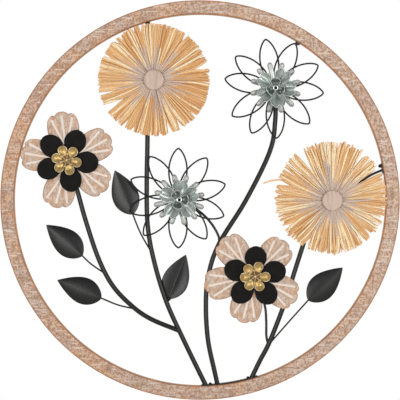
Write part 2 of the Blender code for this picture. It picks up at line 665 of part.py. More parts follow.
# Flowers
wire_flower("high", high_wire, ZINC_SHIFT_HIGH, HIGH_STAR_FRONT, HIGH_STAR_BACK, HIGH_LOBES, HIGH_CUP,
            HIGH_ROSETTE)
wire_flower("low", low_wire, ZINC_SHIFT_LOW, LOW_STAR_FRONT, LOW_STAR_BACK, LOW_LOBES, LOW_CUP, LOW_ROSETTE)
blossom("left_blossom", left_blossom, LEFT_BLOSSOM_REACH, PETALS_SHIFT_LEFT, LEFT_PETALS, LEFT_BLACK, LEFT_GOLD)
blossom("low_blossom", low_blossom, LOW_BLOSSOM_REACH, PETALS_SHIFT_LOW, LOW_PETALS, LOW_BLACK, LOW_GOLD)
raffia_flower("left", left_raffia)
raffia_flower("right", right_raffia)

# Screws: two through the base strip, one through the side plate, and one whose head carries the tip of a
# wire petal, which is welded on it
screw("base_screw_left", -86.8, STRIP_INNER - GAP, STEM_AXIS, BASE_SCREW_HEAD, (base_strip, ring))
screw("base_screw_right", -74.9, STRIP_INNER - GAP, STEM_AXIS, BASE_SCREW_HEAD, (base_strip, ring))
screw("side_screw", 10.7, STRIP_INNER - GAP, STEM_AXIS, SIDE_SCREW_HEAD, (side_plate, ring))
petal_forward = STEM_FRONT - PETAL_SCREW_HEAD[0] / 2
screw("petal_screw", HIGH_WIRE_TOUCH - 0.6, INNER_RADIUS - GAP, petal_forward, PETAL_SCREW_HEAD, (ring,))
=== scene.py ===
# %% [markdown]
# # A round wall panel of steel and raffia flowers
# A whitewashed wooden hoop holds six flowers and five leaves on black steel stems. The solids that are
# loaded here have every size and place of the real panel, but they are faceted and plain. This lesson
# gives each of them a fine surface and a finish, and never moves one.

import math

import bmesh
import bpy
import numpy as np
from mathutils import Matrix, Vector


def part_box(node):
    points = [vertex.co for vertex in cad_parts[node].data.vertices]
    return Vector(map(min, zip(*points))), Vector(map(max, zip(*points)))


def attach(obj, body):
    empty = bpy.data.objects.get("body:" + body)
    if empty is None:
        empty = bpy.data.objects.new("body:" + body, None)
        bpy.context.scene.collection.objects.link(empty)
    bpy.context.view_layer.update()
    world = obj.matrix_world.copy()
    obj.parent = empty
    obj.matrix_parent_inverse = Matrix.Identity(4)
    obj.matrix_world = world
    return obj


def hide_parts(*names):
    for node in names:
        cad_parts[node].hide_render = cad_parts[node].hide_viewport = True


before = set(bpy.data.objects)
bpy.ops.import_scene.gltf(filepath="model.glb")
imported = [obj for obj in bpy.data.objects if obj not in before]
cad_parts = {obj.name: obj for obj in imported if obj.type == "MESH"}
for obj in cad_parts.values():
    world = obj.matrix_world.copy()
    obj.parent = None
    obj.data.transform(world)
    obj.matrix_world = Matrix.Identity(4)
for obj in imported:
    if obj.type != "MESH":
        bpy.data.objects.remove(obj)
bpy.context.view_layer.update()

# %% [markdown]
# ## The camera
# A product photograph of a flat panel is taken straight on, with a long lens, so that the hoop stays
# round. An orthographic camera would hide the hoop's inner wall, which shows as a thin line all round.
# So this is a perspective camera 2.4 m away, with the lens that makes the hoop just fill the picture.

# %% Place the camera
ring_low, ring_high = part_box("frame_ring")
RING_RADIUS = (ring_high.x - ring_low.x) / 2
RING_WIDTH = 0.024
BUNCH_ROOM = 0.002  # between the hoop and the circle that the bunch fills
RING_FRONT = -ring_low.y
RING_EDGE = 0.0016
INNER_RADIUS = RING_RADIUS - RING_WIDTH
BUNCH_RADIUS = INNER_RADIUS - BUNCH_ROOM
CENTRE_Z = (ring_low.z + ring_high.z) / 2
CAMERA_DISTANCE = 2.4
SENSOR = 36
HALF_PICTURE = 200  # pixels
RING_IN_PICTURE = 199.73  # the hoop's outer radius in pixels

lens = bpy.data.cameras.new("camera")
lens.sensor_width = SENSOR
lens.lens = SENSOR / 2 * RING_IN_PICTURE / HALF_PICTURE * (CAMERA_DISTANCE + RING_EDGE) / RING_RADIUS
camera = bpy.data.objects.new("camera", lens)
camera.location = (0, -RING_FRONT - CAMERA_DISTANCE, CENTRE_Z)
camera.rotation_euler = (math.pi / 2, 0, 0)
bpy.context.collection.objects.link(camera)
bpy.context.scene.camera = camera
print("lens", round(lens.lens, 1), "mm")

# %% [markdown]
# ## Shader maths as Python
# A finish is a sum of patterns. Written node by node it is hard to read, so a small class wraps a node's
# output and turns + - and * into Math nodes. Its rise cuts soft spots out of a noise.


# %% Write shader maths as expressions
class Wire:
    """A node's output. Sums on wires and numbers add Math nodes behind it."""

    def __init__(self, nodes, socket):
        self.nodes = nodes
        self.socket = socket

    def __add__(self, other):
        return self.nodes.maths("ADD", self, other)

    def __sub__(self, other):
        return self.nodes.maths("SUBTRACT", self, other)

    def __rsub__(self, other):
        return self.nodes.maths("SUBTRACT", other, self)

    def __mul__(self, other):
        return self.nodes.maths("MULTIPLY", self, other)

    __radd__ = __add__
    __rmul__ = __mul__

    def rise(self, low, high):
        """0 where the value is under low, 1 over high, and smooth between."""
        return self.nodes.add("MapRange", {"interpolation_type": "SMOOTHSTEP"},
                              {"Value": self, "From Min": low, "From Max": high})


def tone(red, green, blue):
    """The linear colour of a screen colour from 0 to 255."""
    screen = np.array([red, green, blue]) / 255
    linear = np.where(screen <= 0.04045, screen / 12.92, ((screen + 0.055) / 1.055) ** 2.4)
    return (*linear.tolist(), 1.0)


print("mid grey is", round(tone(128, 128, 128)[0], 3))

# %% [markdown]
# ## Nodes and coats
# Any other node comes from one method, which sets a node up before it feeds its sockets. What is painted,
# limed or worn is a ground with coats over it, so another method lays them one by one: how far each coat
# covers, and its colour.


# %% Add nodes and lay coats
class Nodes:
    """The nodes of one material or world."""

    def __init__(self, tree):
        self.tree = tree

    def add(self, kind, settings=None, inputs=None, output=0):
        """A node of this kind: its settings first, then a value or a wire for each socket."""
        made = self.tree.nodes.new("ShaderNode" + kind)
        for name, value in (settings or {}).items():
            setattr(made, name, value)
        self.feed(made, inputs or {})
        return Wire(self, made.outputs[output])

    def feed(self, node, inputs):
        for name, value in inputs.items():
            if isinstance(value, Wire):
                self.tree.links.new(value.socket, node.inputs[name])
            else:
                node.inputs[name].default_value = value

    def maths(self, operation, *values):
        return self.add("Math", {"operation": operation}, dict(enumerate(values)))

    def coats(self, ground, *coats):
        """The ground's colour, with the colour of each coat mixed over it as far as the coat covers."""
        colour = tone(*ground)
        for cover, shade in coats:
            over = shade if isinstance(shade, Wire) else tone(*shade)
            colour = self.add("Mix", {"data_type": "RGBA"}, {0: cover, 6: colour, 7: over}, 2)
        return colour

    def noise(self, scale, detail=2.0, stretch=(1, 1, 1), turn=(0, 0, 0), distortion=0.0):
        """Noise of this many spots a metre, on the object's own coordinates."""
        place = self.add("TexCoord", output=3)
        vector = self.add("Mapping", {}, {"Vector": place, "Rotation": turn, "Scale": stretch})
        return self.add("TexNoise", {}, {"Vector": vector, "Scale": scale, "Detail": detail,
                                         "Distortion": distortion})

    def value(self, name):
        """A value that the mesh carries at its points."""
        return self.add("Attribute", {"attribute_name": name}, output=2)

    def bump(self, height, strength, distance):
        return self.add("Bump", {}, {"Height": height, "Strength": strength, "Distance": distance})


# %% [markdown]
# ## Finishes
# A finish is a material with one Principled shader. Numbers that are the same all over go straight into
# its sockets, and only what varies comes by a wire.


# %% Set up a finish
class Finish(Nodes):
    """A material for one slot of the panel, whose plain numbers are set on the shader's own sockets."""

    def __init__(self, name, slot=None, **sockets):
        self.slot = slot or name
        self.material = bpy.data.materials.new(name)
        self.material.use_nodes = True
        super().__init__(self.material.node_tree)
        self.wear(**sockets)

    def wear(self, **inputs):
        """Leads values and wires into the shader's sockets."""
        shader = self.tree.nodes["Principled BSDF"]
        self.feed(shader, {socket.replace("_", " "): value for socket, value in inputs.items()})
        print(self.material.name, "has", ", ".join(inputs) or "no values yet")


# %% [markdown]
# ## Light and ground
# The photograph has a white ground and soft light: the left halves of the leaves shine, and the black
# plates stay black. A white world would light everything alike and turn black steel grey, so the world is
# white only where the camera looks straight at it. The light that it gives is dim in front of the panel
# and brighter round its sides. Two large soft lights do the rest.

# %% Light the panel
bpy.context.scene.view_settings.view_transform = "Standard"
SIDE_LIGHT = 0.70
FRONT_LIGHT = 0.24

world = bpy.data.worlds.new("studio")
world.use_nodes = True
bpy.context.scene.world = world
studio = Nodes(world.node_tree)
seen = studio.add("LightPath")
towards_back = studio.add("SeparateXYZ", {}, {"Vector": studio.add("TexCoord")}, 1)
given = SIDE_LIGHT - (SIDE_LIGHT - FRONT_LIGHT) * (0 - towards_back).rise(0.25, 0.95)
studio.feed(world.node_tree.nodes["Background"], {
    "Color": (1.0, 1.0, 1.0, 1.0), "Strength": seen + (1 - seen) * given})


def soft_light(name, place, size, watts):
    """A square light at a place round the hoop's centre, turned to it."""
    data = bpy.data.lights.new(name, "AREA")
    data.size = size
    data.energy = watts
    light = bpy.data.objects.new(name, data)
    light.location = (place[0], place[1], CENTRE_Z + place[2])
    towards = -(light.location - ring_low.lerp(ring_high, 0.5))
    light.rotation_euler = towards.to_track_quat("-Z", "Y").to_euler()
    bpy.context.collection.objects.link(light)


soft_light("key_light", (-0.97, -2.4, -0.25), 1.15, 29)
soft_light("fill_light", (1.17, -2.4, 0.08), 1.0, 19.5)
print("lights", [light.name for light in bpy.data.lights])

# %% [markdown]
# ## The floor
# The panel hangs, so the floor is only there for views from above. It lies below the picture and ends
# behind the panel, where the camera would see it as a grey band.

# %% Lay the floor
FLOOR_HEIGHT = -0.74
FLOOR_SIZE = 6
FLOOR_BACK = 0.25  # behind this the camera would see it
bpy.ops.mesh.primitive_plane_add(size=FLOOR_SIZE, location=(0, FLOOR_BACK - FLOOR_SIZE / 2, FLOOR_HEIGHT))
floor = bpy.context.active_object
floor.name = "floor"
floor_paint = Finish("floor_paint", Base_Color=tone(238, 236, 232), Roughness=0.8)
floor.data.materials.append(floor_paint.material)
print("floor at", FLOOR_HEIGHT)

# %% [markdown]
# ## Meshes from arrays
# Nearly all of the panel is sheet, wire and strand. A sheet is a grid of points worked out from two
# parameters, and a wire is a ring of points carried along a route. Both come out of numpy as whole
# arrays, so a thousand strands cost no more lines than one. Their faces follow from the numbering alone.


# %% Number the faces of a grid
def grid_faces(rows, columns, loop_rows=False, loop_columns=False, copies=1):
    """Quads of a grid numbered row by row, for so many grids one after the other."""
    row = np.arange(rows if loop_rows else rows - 1)[:, None]
    column = np.arange(columns if loop_columns else columns - 1)[None, :]
    ahead = (row + 1) % rows
    beside = (column + 1) % columns
    corners = (row * columns + column, ahead * columns + column, ahead * columns + beside,
               row * columns + beside)
    quads = np.stack(np.broadcast_arrays(*corners), axis=-1).reshape(-1, 4)
    return (quads + rows * columns * np.arange(copies)[:, None, None]).reshape(-1, 4).tolist()


print("the first face of a 3 by 4 grid has corners", grid_faces(3, 4)[0])

# %% [markdown]
# ## Pieces in place of solids
# The same few steps end every piece: points and values go into a mesh, edges sharper than 45 degrees stay
# sharp, and the piece takes a finish and stands in for its solid. Sheet is made of grids side by side, so
# its double points become one before a Solidify modifier gives it a thickness.

# %% Put a piece on the panel
SAME_POINT = 1e-6
CREASE = math.radians(45)


def put(node, points, faces, finish, values=None, sheet=0.0, name=None):
    """The piece that is seen in place of a solid. It carries the values given at its points."""
    name = name or f"{node}_surface"
    mesh = bpy.data.meshes.new(name)
    mesh.from_pydata(np.reshape(points, (-1, 3)).tolist(), [], faces)
    for key, value in (values or {}).items():
        layer = mesh.attributes.new(key, "FLOAT", "POINT")
        layer.data.foreach_set("value", np.asarray(value, dtype=np.float32).ravel())
    if sheet:
        shape = bmesh.new()
        shape.from_mesh(mesh)
        bmesh.ops.remove_doubles(shape, verts=shape.verts, dist=SAME_POINT)
        shape.to_mesh(mesh)
        shape.free()
    mesh.shade_smooth()
    mesh.set_sharp_from_angle(angle=CREASE)
    mesh.materials.append(finish.material)
    piece = bpy.data.objects.new(name, mesh)
    bpy.context.collection.objects.link(piece)
    if sheet:
        wall = piece.modifiers.new("sheet", "SOLIDIFY")
        wall.thickness = sheet
        wall.offset = -1
    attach(piece, "root")
    if node:
        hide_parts(node)
    print(name, len(mesh.polygons), "faces")


# %% [markdown]
# ## Turned shapes
# A hoop, a button and a screw's head are a profile turned round an axis. The Screw modifier does that
# too, but rings of points from numpy can carry values, such as how far across the hoop a point lies.

# %% Turn a profile
FRONT = np.array([0.0, -1.0, 0.0])


def round_steps(count):
    """Angles of so many even steps round a circle."""
    return np.linspace(0, 2 * np.pi, count, endpoint=False)


def heading(degrees):
    """Unit vectors in the panel's plane at these angles from +X."""
    turn = np.radians(degrees)
    return np.stack([np.cos(turn), np.zeros_like(turn), np.sin(turn)], axis=-1)


def smooth(value):
    """Runs from 0 to 1 as its value does, level at both ends."""
    held = np.clip(value, 0, 1)
    return held * held * (3 - 2 * held)


def turned(profile, centre, axis, steps):
    """Rings of points: each (radius, height) of a profile turned round the axis through the centre."""
    axis = np.array(axis, dtype=float)
    first = np.cross(axis, (0.0, 0.6, 0.8))
    first /= np.linalg.norm(first)
    second = np.cross(first, axis)
    turn = round_steps(steps)[:, None]
    profile = np.array(profile)
    spokes = np.cos(turn) * first + np.sin(turn) * second
    return centre + profile[:, 0, None, None] * spokes + profile[:, 1, None, None] * axis


print("straight up from the middle is", heading(90.0).round(3))

# %% [markdown]
# ## Drawn shapes
# A stem, a wire and a strand of raffia are an oval carried along a route, square to it at each point. One
# call does a thousand routes at once. Turned and drawn shapes are both rings of points, so one skin fits
# both.


# %% Carry an oval along a route
def rings_along(route, across, thick, sides, loop=False):
    """Ovals carried along a route, or along many at once.

    A point is the route's, plus across * cos(turn) to the side and thick * sin(turn) to the front.
    """
    if loop:
        ahead = np.roll(route, -1, -2) - np.roll(route, 1, -2)
    else:
        ahead = np.gradient(route, axis=-2)
    tangent = ahead / np.linalg.norm(ahead, axis=-1, keepdims=True)
    side = np.cross(tangent, FRONT)
    side /= np.linalg.norm(side, axis=-1, keepdims=True)
    front = np.cross(side, tangent)
    turn = round_steps(sides)[:, None]
    across = np.broadcast_to(across, route.shape[:-1])[..., None, None]
    thick = np.broadcast_to(thick, route.shape[:-1])[..., None, None]
    aside = across * np.cos(turn) * side[..., None, :]
    return route[..., None, :] + aside + thick * np.sin(turn) * front[..., None, :]


def skin(rings, loop=False):
    """Faces over one or many tubes of rings, with flat ends on those that don't loop."""
    *bodies, steps, sides, _ = rings.shape
    copies = math.prod(bodies)
    faces = grid_faces(steps, sides, loop, True, copies)
    if not loop:
        starts = steps * sides * np.arange(copies)[:, None]
        faces += (starts + np.arange(sides)).tolist()
        faces += (starts + np.arange(steps * sides)[:-sides - 1:-1]).tolist()
    return faces


print("a closed tube of 3 rings of 4 has", len(skin(np.zeros((3, 4, 3)))), "faces")

# %% [markdown]
# ## The whitewashed wood
# The hoop is bent wood, painted and rubbed down: thin white over tan, worn through to brown in small
# spots, with a dark worn line and orange stains along its edges. Layers do this best: broad patches
# first, then mottles, then a few slanting strokes, and the edges last, from a value that says how far
# across the hoop a point lies.

# %% Mix the hoop's finish
SLANT = 0.75  # radians
STROKE = (1.0, 1.0, 9.0)
hoop_wood = Finish("whitewashed_hoop", "whitewashed_ring", Specular_IOR_Level=0.25)
patches = hoop_wood.noise(28, 3, distortion=0.6)
mottles = hoop_wood.noise(430, 4, (1.0, 1.0, 0.7), (0, 0.6, 0))
clouds = hoop_wood.noise(110, 3)
strokes = hoop_wood.noise(42, 2, STROKE, (0, SLANT, 0), 0.4)
hatching = hoop_wood.noise(42, 2, STROKE, (0, -SLANT, 0), 0.4)
stains = hoop_wood.noise(60, 2)
across = hoop_wood.value("across")
edges = across.rise(0.87, 0.97) + (1 - across).rise(0.89, 0.98)
edge_colour = hoop_wood.coats((160, 110, 76), (stains.rise(0.50, 0.62), (198, 130, 82)))
wood = hoop_wood.coats(
    (210, 168, 134),
    (patches.rise(0.38, 0.62), (194, 170, 158)),
    (patches.rise(0.54, 0.66) * 0.7, (176, 150, 124)),
    # painted light: the right side of the hoop is painted paler than the left
    (hoop_wood.value("pale") * 0.45, (216, 196, 180)),
    (clouds.rise(0.50, 0.60) * 0.45, (168, 126, 100)),
    (mottles.rise(0.48, 0.60) * 0.75, (154, 118, 94)),
    ((1 - mottles).rise(0.54, 0.66) * 0.5, (222, 202, 186)),
    (strokes.rise(0.56, 0.66) * 0.7, (230, 214, 202)),
    (hatching.rise(0.56, 0.66) * 0.45, (170, 126, 100)),
    (edges * (0.55 + 0.8 * stains), edge_colour),
    (hoop_wood.value("depth").rise(0.10, 0.30) * 0.6, (222, 182, 150)))
hoop_wood.wear(Base_Color=wood, Roughness=0.62 + 0.25 * mottles,
               Normal=hoop_wood.bump(mottles + 0.5 * strokes, 0.35, 0.0008))

# %% [markdown]
# ## The hoop
# A hoop is one profile turned round the centre. The solid's facets would show on its rim, so it is made
# again with many more steps and a soft edge. Each point keeps how far it lies across the front and how
# deep, and a share of painted light that makes the right side of the hoop the palest.

# %% Turn the hoop
RING_STEPS = 480
FACE_STEPS = 12


def corner(centre, radius, first, last, steps=5):
    """An arc of a profile round its centre, from one angle to another."""
    turn = np.radians(np.linspace(first, last, steps))
    return np.stack([centre[0] + radius * np.cos(turn), centre[1] + radius * np.sin(turn)], axis=-1)


face = np.linspace(RING_RADIUS - RING_EDGE, INNER_RADIUS + RING_EDGE, FACE_STEPS)[1:-1]
ring_profile = np.concatenate([
    [(RING_RADIUS, 0.0), (RING_RADIUS, RING_FRONT / 2)],
    corner((RING_RADIUS - RING_EDGE, RING_FRONT - RING_EDGE), RING_EDGE, 0, 90),
    np.stack([face, np.full_like(face, RING_FRONT)], axis=-1),
    corner((INNER_RADIUS + RING_EDGE, RING_FRONT - RING_EDGE), RING_EDGE, 90, 180),
    [(INNER_RADIUS, RING_FRONT / 2), (INNER_RADIUS, 0.0)]])
rings = turned(ring_profile, (0, 0, CENTRE_Z), FRONT, RING_STEPS)
# The pale value is painted light: 1 on the right side of the hoop, 0 on the left.
put("frame_ring", rings, skin(rings, True), hoop_wood, {
    "across": np.repeat((ring_profile[:, 0] - INNER_RADIUS) / RING_WIDTH, RING_STEPS),
    "depth": np.repeat(1 - ring_profile[:, 1] / RING_FRONT, RING_STEPS),
    "pale": np.tile((1 - np.cos(round_steps(RING_STEPS))) / 2, len(ring_profile))})

# %% [markdown]
# ## Black steel
# The stems are mill-black tube under a thin clear lacquer: nearly black, with one soft light line along
# them. A little brown dust and a slightly uneven roughness keep them from looking like plastic. Leaves,
# wires and one brownish screw are the same steel with other colours and gloss, so a function mixes them.


# %% Mix the steels
def steel(name, black, dusty, roughness, uneven=0.16, slot=None):
    """Black steel with dust in clouds, which also make its gloss uneven."""
    made = Finish(name, slot, Specular_IOR_Level=0.38)
    dust = made.noise(120, 4)
    made.wear(Base_Color=made.coats(black, (dust.rise(0.55, 0.72) * 0.5, dusty)),
              Roughness=roughness + uneven * dust, Normal=made.bump(made.noise(900, 2), 0.15, 0.0003))
    return made


black_steel = steel("black_steel", (18, 18, 17), (38, 35, 32), 0.24)
leaf_steel = steel("leaf_steel", (18, 18, 18), (30, 29, 28), 0.30, 0.04)
wire_steel = steel("wire_steel", (8, 8, 8), (20, 18, 17), 0.40, slot="black_steel")
screw_steel = steel("screw_steel", (70, 48, 42), (120, 88, 74), 0.14)

# %% [markdown]
# ## Routes of stems
# Each stem was bent by hand from straight tube, so its route is a smooth curve through a few chosen
# points. A Blender curve could do it, but one that passes through every point (Catmull-Rom) is a few
# sums. The points are shares of the circle that the bunch fills, so the bunch grows and shrinks with it.


# %% Draw a smooth route
def at(shares, forward):
    """The point at these shares of the bunch's radius from the hoop's centre, this far from the wall."""
    return np.array([shares[0] * BUNCH_RADIUS, -forward, CENTRE_Z + shares[1] * BUNCH_RADIUS])


def smooth_route(points, steps=10):
    """Points on the smooth curve through the given ones, with so many steps between each two."""
    points = np.array(points)
    knots = np.concatenate([[2 * points[0] - points[1]], points, [2 * points[-1] - points[-2]]])
    before, start, end, after = (knots[index:len(knots) - 3 + index, None] for index in range(4))
    t = np.linspace(0, 1, steps, endpoint=False)[:, None]
    bend = 2 * before - 5 * start + 4 * end - after
    twist = 3 * start - before - 3 * end + after
    route = (2 * start + (end - before) * t + bend * t**2 + twist * t**3) / 2
    return np.concatenate([route.reshape(-1, 3), points[-1:]])


def height_on(route, share):
    """The point of a falling route at this share of the bunch's radius above the hoop's centre."""
    rising = route[::-1]
    height = CENTRE_Z + share * BUNCH_RADIUS
    return np.array([np.interp(height, rising[:, 2], rising[:, axis]) for axis in range(3)])


print("the bunch fills a circle of", round(BUNCH_RADIUS, 4), "m")

# %% [markdown]
# ## Tubes that end on a wall
# A real tube is cut to the hoop's curve before it is welded. Here the round section is carried up to the
# wall, and each point of its last ring slides on along the tube until it meets the wall.

# %% Cut tubes at the wall
LACQUER = 0.0002  # on every tube and wire
STEM_DIAMETER = 0.008
ROD_DIAMETER = 0.004
STALK_DIAMETER = 0.0025
STEM_STANDOFF = 0.0025
GAP = 0.0003
STRIP_THICKNESS = 0.0018
STEM_AXIS = STEM_STANDOFF + STEM_DIAMETER / 2
STEM_FRONT = STEM_STANDOFF + STEM_DIAMETER
WALL = INNER_RADIUS - GAP
STRIP_FACE = WALL - STRIP_THICKNESS - GAP
STEM_SIDES = 20
ROD_SIDES = 14
WIRE_SIDES = 10


def from_centre(points):
    """Places in the panel's plane, from the hoop's centre."""
    return points[..., (0, 2)] - (0, CENTRE_Z)


def onto_wall(ring, tangent, radius):
    """The ring slid along its tube until each point is at this radius: |q + s d| = radius."""
    q = from_centre(ring)
    d = tangent[[0, 2]]
    half = q @ d
    slide = (-half + np.sqrt(half**2 - (d @ d) * ((q * q).sum(-1) - radius**2))) / (d @ d)
    return ring + slide[:, None] * tangent


def tube(node, route, diameter, sides, start_wall=0.0, end_wall=0.0):
    """A tube along a route, cut off where it meets a wall at either end."""
    for wall, order in ((start_wall, -1), (end_wall, 1)):
        if wall:
            route = route[::order]
            far = np.linalg.norm(from_centre(route), axis=-1)
            outside = np.flatnonzero(far > wall - diameter)
            route = route[:outside[outside > len(route) / 2][0]][::order]
    radius = diameter / 2 + LACQUER
    rings = rings_along(route, radius, radius, sides)
    if start_wall:
        rings = np.concatenate([onto_wall(rings[0], route[0] - route[1], start_wall)[None], rings])
    if end_wall:
        rings = np.concatenate([rings, onto_wall(rings[-1], route[-1] - route[-2], end_wall)[None]])
    put(node, rings, skin(rings), black_steel)


print("stems end at", round(STRIP_FACE, 4), "m from the hoop's centre")

# %% [markdown]
# ## Where the flowers are
# A flower is placed by its centre, as shares of the circle that the bunch fills. Where a solid turns
# round the same centre, the place is read from its box instead, and the left blossom is placed by the
# petal that touches the hoop.


# %% Find the flower centres
def middle_of(node):
    """The middle of a solid's box, on the wall."""
    low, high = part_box(node)
    return np.array([(low.x + high.x) / 2, 0.0, (low.z + high.z) / 2])


ZINC_SHIFT_HIGH = np.array([0.0026, 0.0, 0.0010])
ZINC_SHIFT_LOW = np.array([0.0035, 0.0, -0.0028])
LEFT_BLOSSOM_TOUCH = 165.2  # degrees round the hoop
LEFT_PETALS = (-105, -36, 28, 98, 170.7)
TOUCHING_REACH = 0.0840
PETALS_SHIFT_LEFT = np.array([0.0012, 0.0, 0.0])
PETALS_SHIFT_LOW = np.array([-0.0030, 0.0, 0.0014])
high_zinc = middle_of("high_eyelet")
low_zinc = middle_of("low_eyelet")
high_wire = high_zinc - ZINC_SHIFT_HIGH
low_wire = low_zinc - ZINC_SHIFT_LOW
left_raffia = middle_of("left_raffia_button")
right_raffia = middle_of("right_raffia_button")
low_blossom = at((0.298, -0.414), 0)
left_blossom = np.array([0, 0, CENTRE_Z]) + heading(LEFT_BLOSSOM_TOUCH) * WALL
left_blossom = left_blossom - heading(LEFT_PETALS[-1]) * TOUCHING_REACH - PETALS_SHIFT_LEFT
print("left blossom at", left_blossom.round(4))

# %% [markdown]
# ## Stems
# Four 8 mm tubes carry the bunch. Each starts behind its flower, or on the hoop's wall, and runs down to
# the strip at the bottom or to the stem that it is welded to. Only the points where a stem bends are
# given.


# %% Make the stems
def stem_route(start, shares, end=()):
    """A route in the plane of the stems, with a first point of its own, and a last, where one is given."""
    return smooth_route([*start, *(at(pair, STEM_AXIS) for pair in shares), *end])


left_route = stem_route((), (
    (-0.284, 1.020), (-0.284, 0.649), (-0.285, 0.325), (-0.289, 0.081), (-0.284, -0.135),
    (-0.252, -0.320), (-0.185, -0.545), (-0.086, -0.765), (0.036, -1.015)))
wire_route = stem_route([high_zinc + FRONT * STEM_AXIS], (
    (0.408, 0.434), (0.378, 0.262), (0.249, -0.001), (0.103, -0.238), (0.046, -0.406), (0.032, -0.568),
    (0.043, -0.757), (0.078, -0.925), (0.102, -1.030)))
right_route = stem_route([right_raffia + FRONT * STEM_AXIS], (
    (0.600, -0.119), (0.556, -0.254), (0.513, -0.388), (0.460, -0.557), (0.378, -0.768),
    (0.324, -0.873), (0.273, -0.978), (0.248, -1.028)))
blossom_route = stem_route([left_blossom + FRONT * STEM_AXIS], (
    (-0.671, 0.070), (-0.620, -0.112), (-0.549, -0.321), (-0.471, -0.468), (-0.364, -0.579),
    (-0.263, -0.647)), [height_on(left_route, -0.709)])
tube("stem_left_raffia", left_route, STEM_DIAMETER, STEM_SIDES, WALL, STRIP_FACE)
tube("stem_wire_flower", wire_route, STEM_DIAMETER, STEM_SIDES, end_wall=STRIP_FACE)
tube("stem_right_raffia", right_route, STEM_DIAMETER, STEM_SIDES, end_wall=STRIP_FACE)
tube("stem_left_blossom", blossom_route, STEM_DIAMETER, STEM_SIDES)

# %% [markdown]
# ## Rods
# Three thinner rods branch off the stems: to the low blossom, to the low wire flower, and from the right
# raffia flower to the plate on the hoop's wall. They are tubes like the stems, on shorter routes.

# %% Make the rods
ROD_FRONT = STEM_FRONT - ROD_DIAMETER / 2
SIDE_ROD_ANGLE = 9.4
low_blossom_rod = stem_route([low_blossom + FRONT * ROD_FRONT], (
    (0.349, -0.563), (0.359, -0.649), (0.360, -0.736)), [height_on(right_route, -0.785)])
low_wire_rod = stem_route([low_zinc + FRONT * ROD_FRONT], (
    (-0.006, -0.060), (0.059, -0.124), (0.100, -0.195)), [height_on(wire_route, -0.240)])
side_rod = stem_route([at((0, 0), STEM_AXIS) + heading(SIDE_ROD_ANGLE) * INNER_RADIUS], (
    (0.921, 0.132), (0.832, 0.072)), [height_on(right_route, -0.035)])
tube("rod_low_blossom", low_blossom_rod, ROD_DIAMETER, ROD_SIDES)
tube("rod_low_wire", low_wire_rod, ROD_DIAMETER, ROD_SIDES)
tube("rod_right_raffia", side_rod, ROD_DIAMETER, ROD_SIDES, start_wall=STRIP_FACE)

# %% [markdown]
# ## Leaves
# A leaf is stamped from thin sheet. Its halves swell like two small pillows on either side of a pressed
# midrib, which is what catches the light. A Subdivision cage would blur the point, so the leaf is a grid
# in two parameters: along the midrib, and across from edge to edge.

# %% Shape a leaf
LEAF_LENGTH = 0.084
LEAF_WIDTH = 0.047
SHEET = 0.0009
LEAF_ROWS = 60
LEAF_COLUMNS = 41


def leaf(number, base, degrees, front, fold, pillows):
    """A leaf whose half width at the share u of its length is sin(pi * u ** 0.75) ** 0.9 of the greatest.

    Its depth is the fold, less a pillow in each half that goes as sin(pi * side) and fades at the ends.
    """
    lean = math.atan2(min(fold, 0), LEAF_WIDTH / 2)
    share = np.linspace(0, 1, LEAF_ROWS)[:, None]
    side = np.linspace(-1, 1, LEAF_COLUMNS)[None, :]
    breadth = np.clip(np.sin(np.pi * share**0.75), 0, None) ** 0.9
    swell = np.where(side > 0, *pillows) * np.sin(np.pi * np.abs(side)) ** 0.8
    back = breadth * (fold * np.abs(side) - swell * np.sin(np.pi * np.clip(share, 0, 1)) ** 0.5)
    aside = side * breadth * LEAF_WIDTH / 2
    back, aside = (back * math.cos(lean) - aside * math.sin(lean),
                   back * math.sin(lean) + aside * math.cos(lean))
    points = base + heading(degrees) * (share * LEAF_LENGTH)[..., None] * np.ones_like(side)[..., None]
    points = points + heading(degrees + 90) * aside[..., None] - FRONT * back[..., None]
    points[..., 1] -= front
    put(f"leaf_{number}", points, grid_faces(LEAF_ROWS, LEAF_COLUMNS), leaf_steel, sheet=SHEET)


print("a leaf has", LEAF_ROWS * LEAF_COLUMNS, "points")

# %% [markdown]
# ## Leaves on their stalks
# Four leaves lie on wire stalks that run on under the midrib, and a fifth is welded straight on a stem by
# its base and leans to it. The foot of every stalk is kept, because a bead of weld goes there later.

# %% Hang the leaves
LEAF_FOLD = 0.0045
LEAF_PILLOWS = (0.0011, 0.0011)
STALK_UNDER_LEAF = 0.014
LEAVES = (
    ("1", (-0.364, -0.079), 112.2, (-0.322, -0.181), left_route, -0.292),
    ("2", (-0.637, -0.304), 139.2, (-0.591, -0.347), blossom_route, -0.402),
    ("3", (-0.534, -0.533), 157.6, (-0.445, -0.569), blossom_route, -0.592),
    ("5", (0.586, -0.545), 43.7, (0.484, -0.658), right_route, -0.790),
)
leaf_slope = math.atan2(LEAF_FOLD, LEAF_WIDTH / 2)
leaf_front = STEM_AXIS + (STALK_DIAMETER / 2 + GAP + SHEET) / math.cos(leaf_slope)
welds = []
for number, base, degrees, bend, route, weld in LEAVES:
    foot = at(base, STEM_AXIS)
    leaf(number, foot * (1, 0, 1), degrees, leaf_front, LEAF_FOLD, LEAF_PILLOWS)
    welds.append(height_on(route, weld))
    stalk = smooth_route([welds[-1], at(bend, STEM_AXIS), foot, foot + heading(degrees) * STALK_UNDER_LEAF])
    tube(f"leaf_stalk_{number}", stalk, STALK_DIAMETER, WIRE_SIDES)

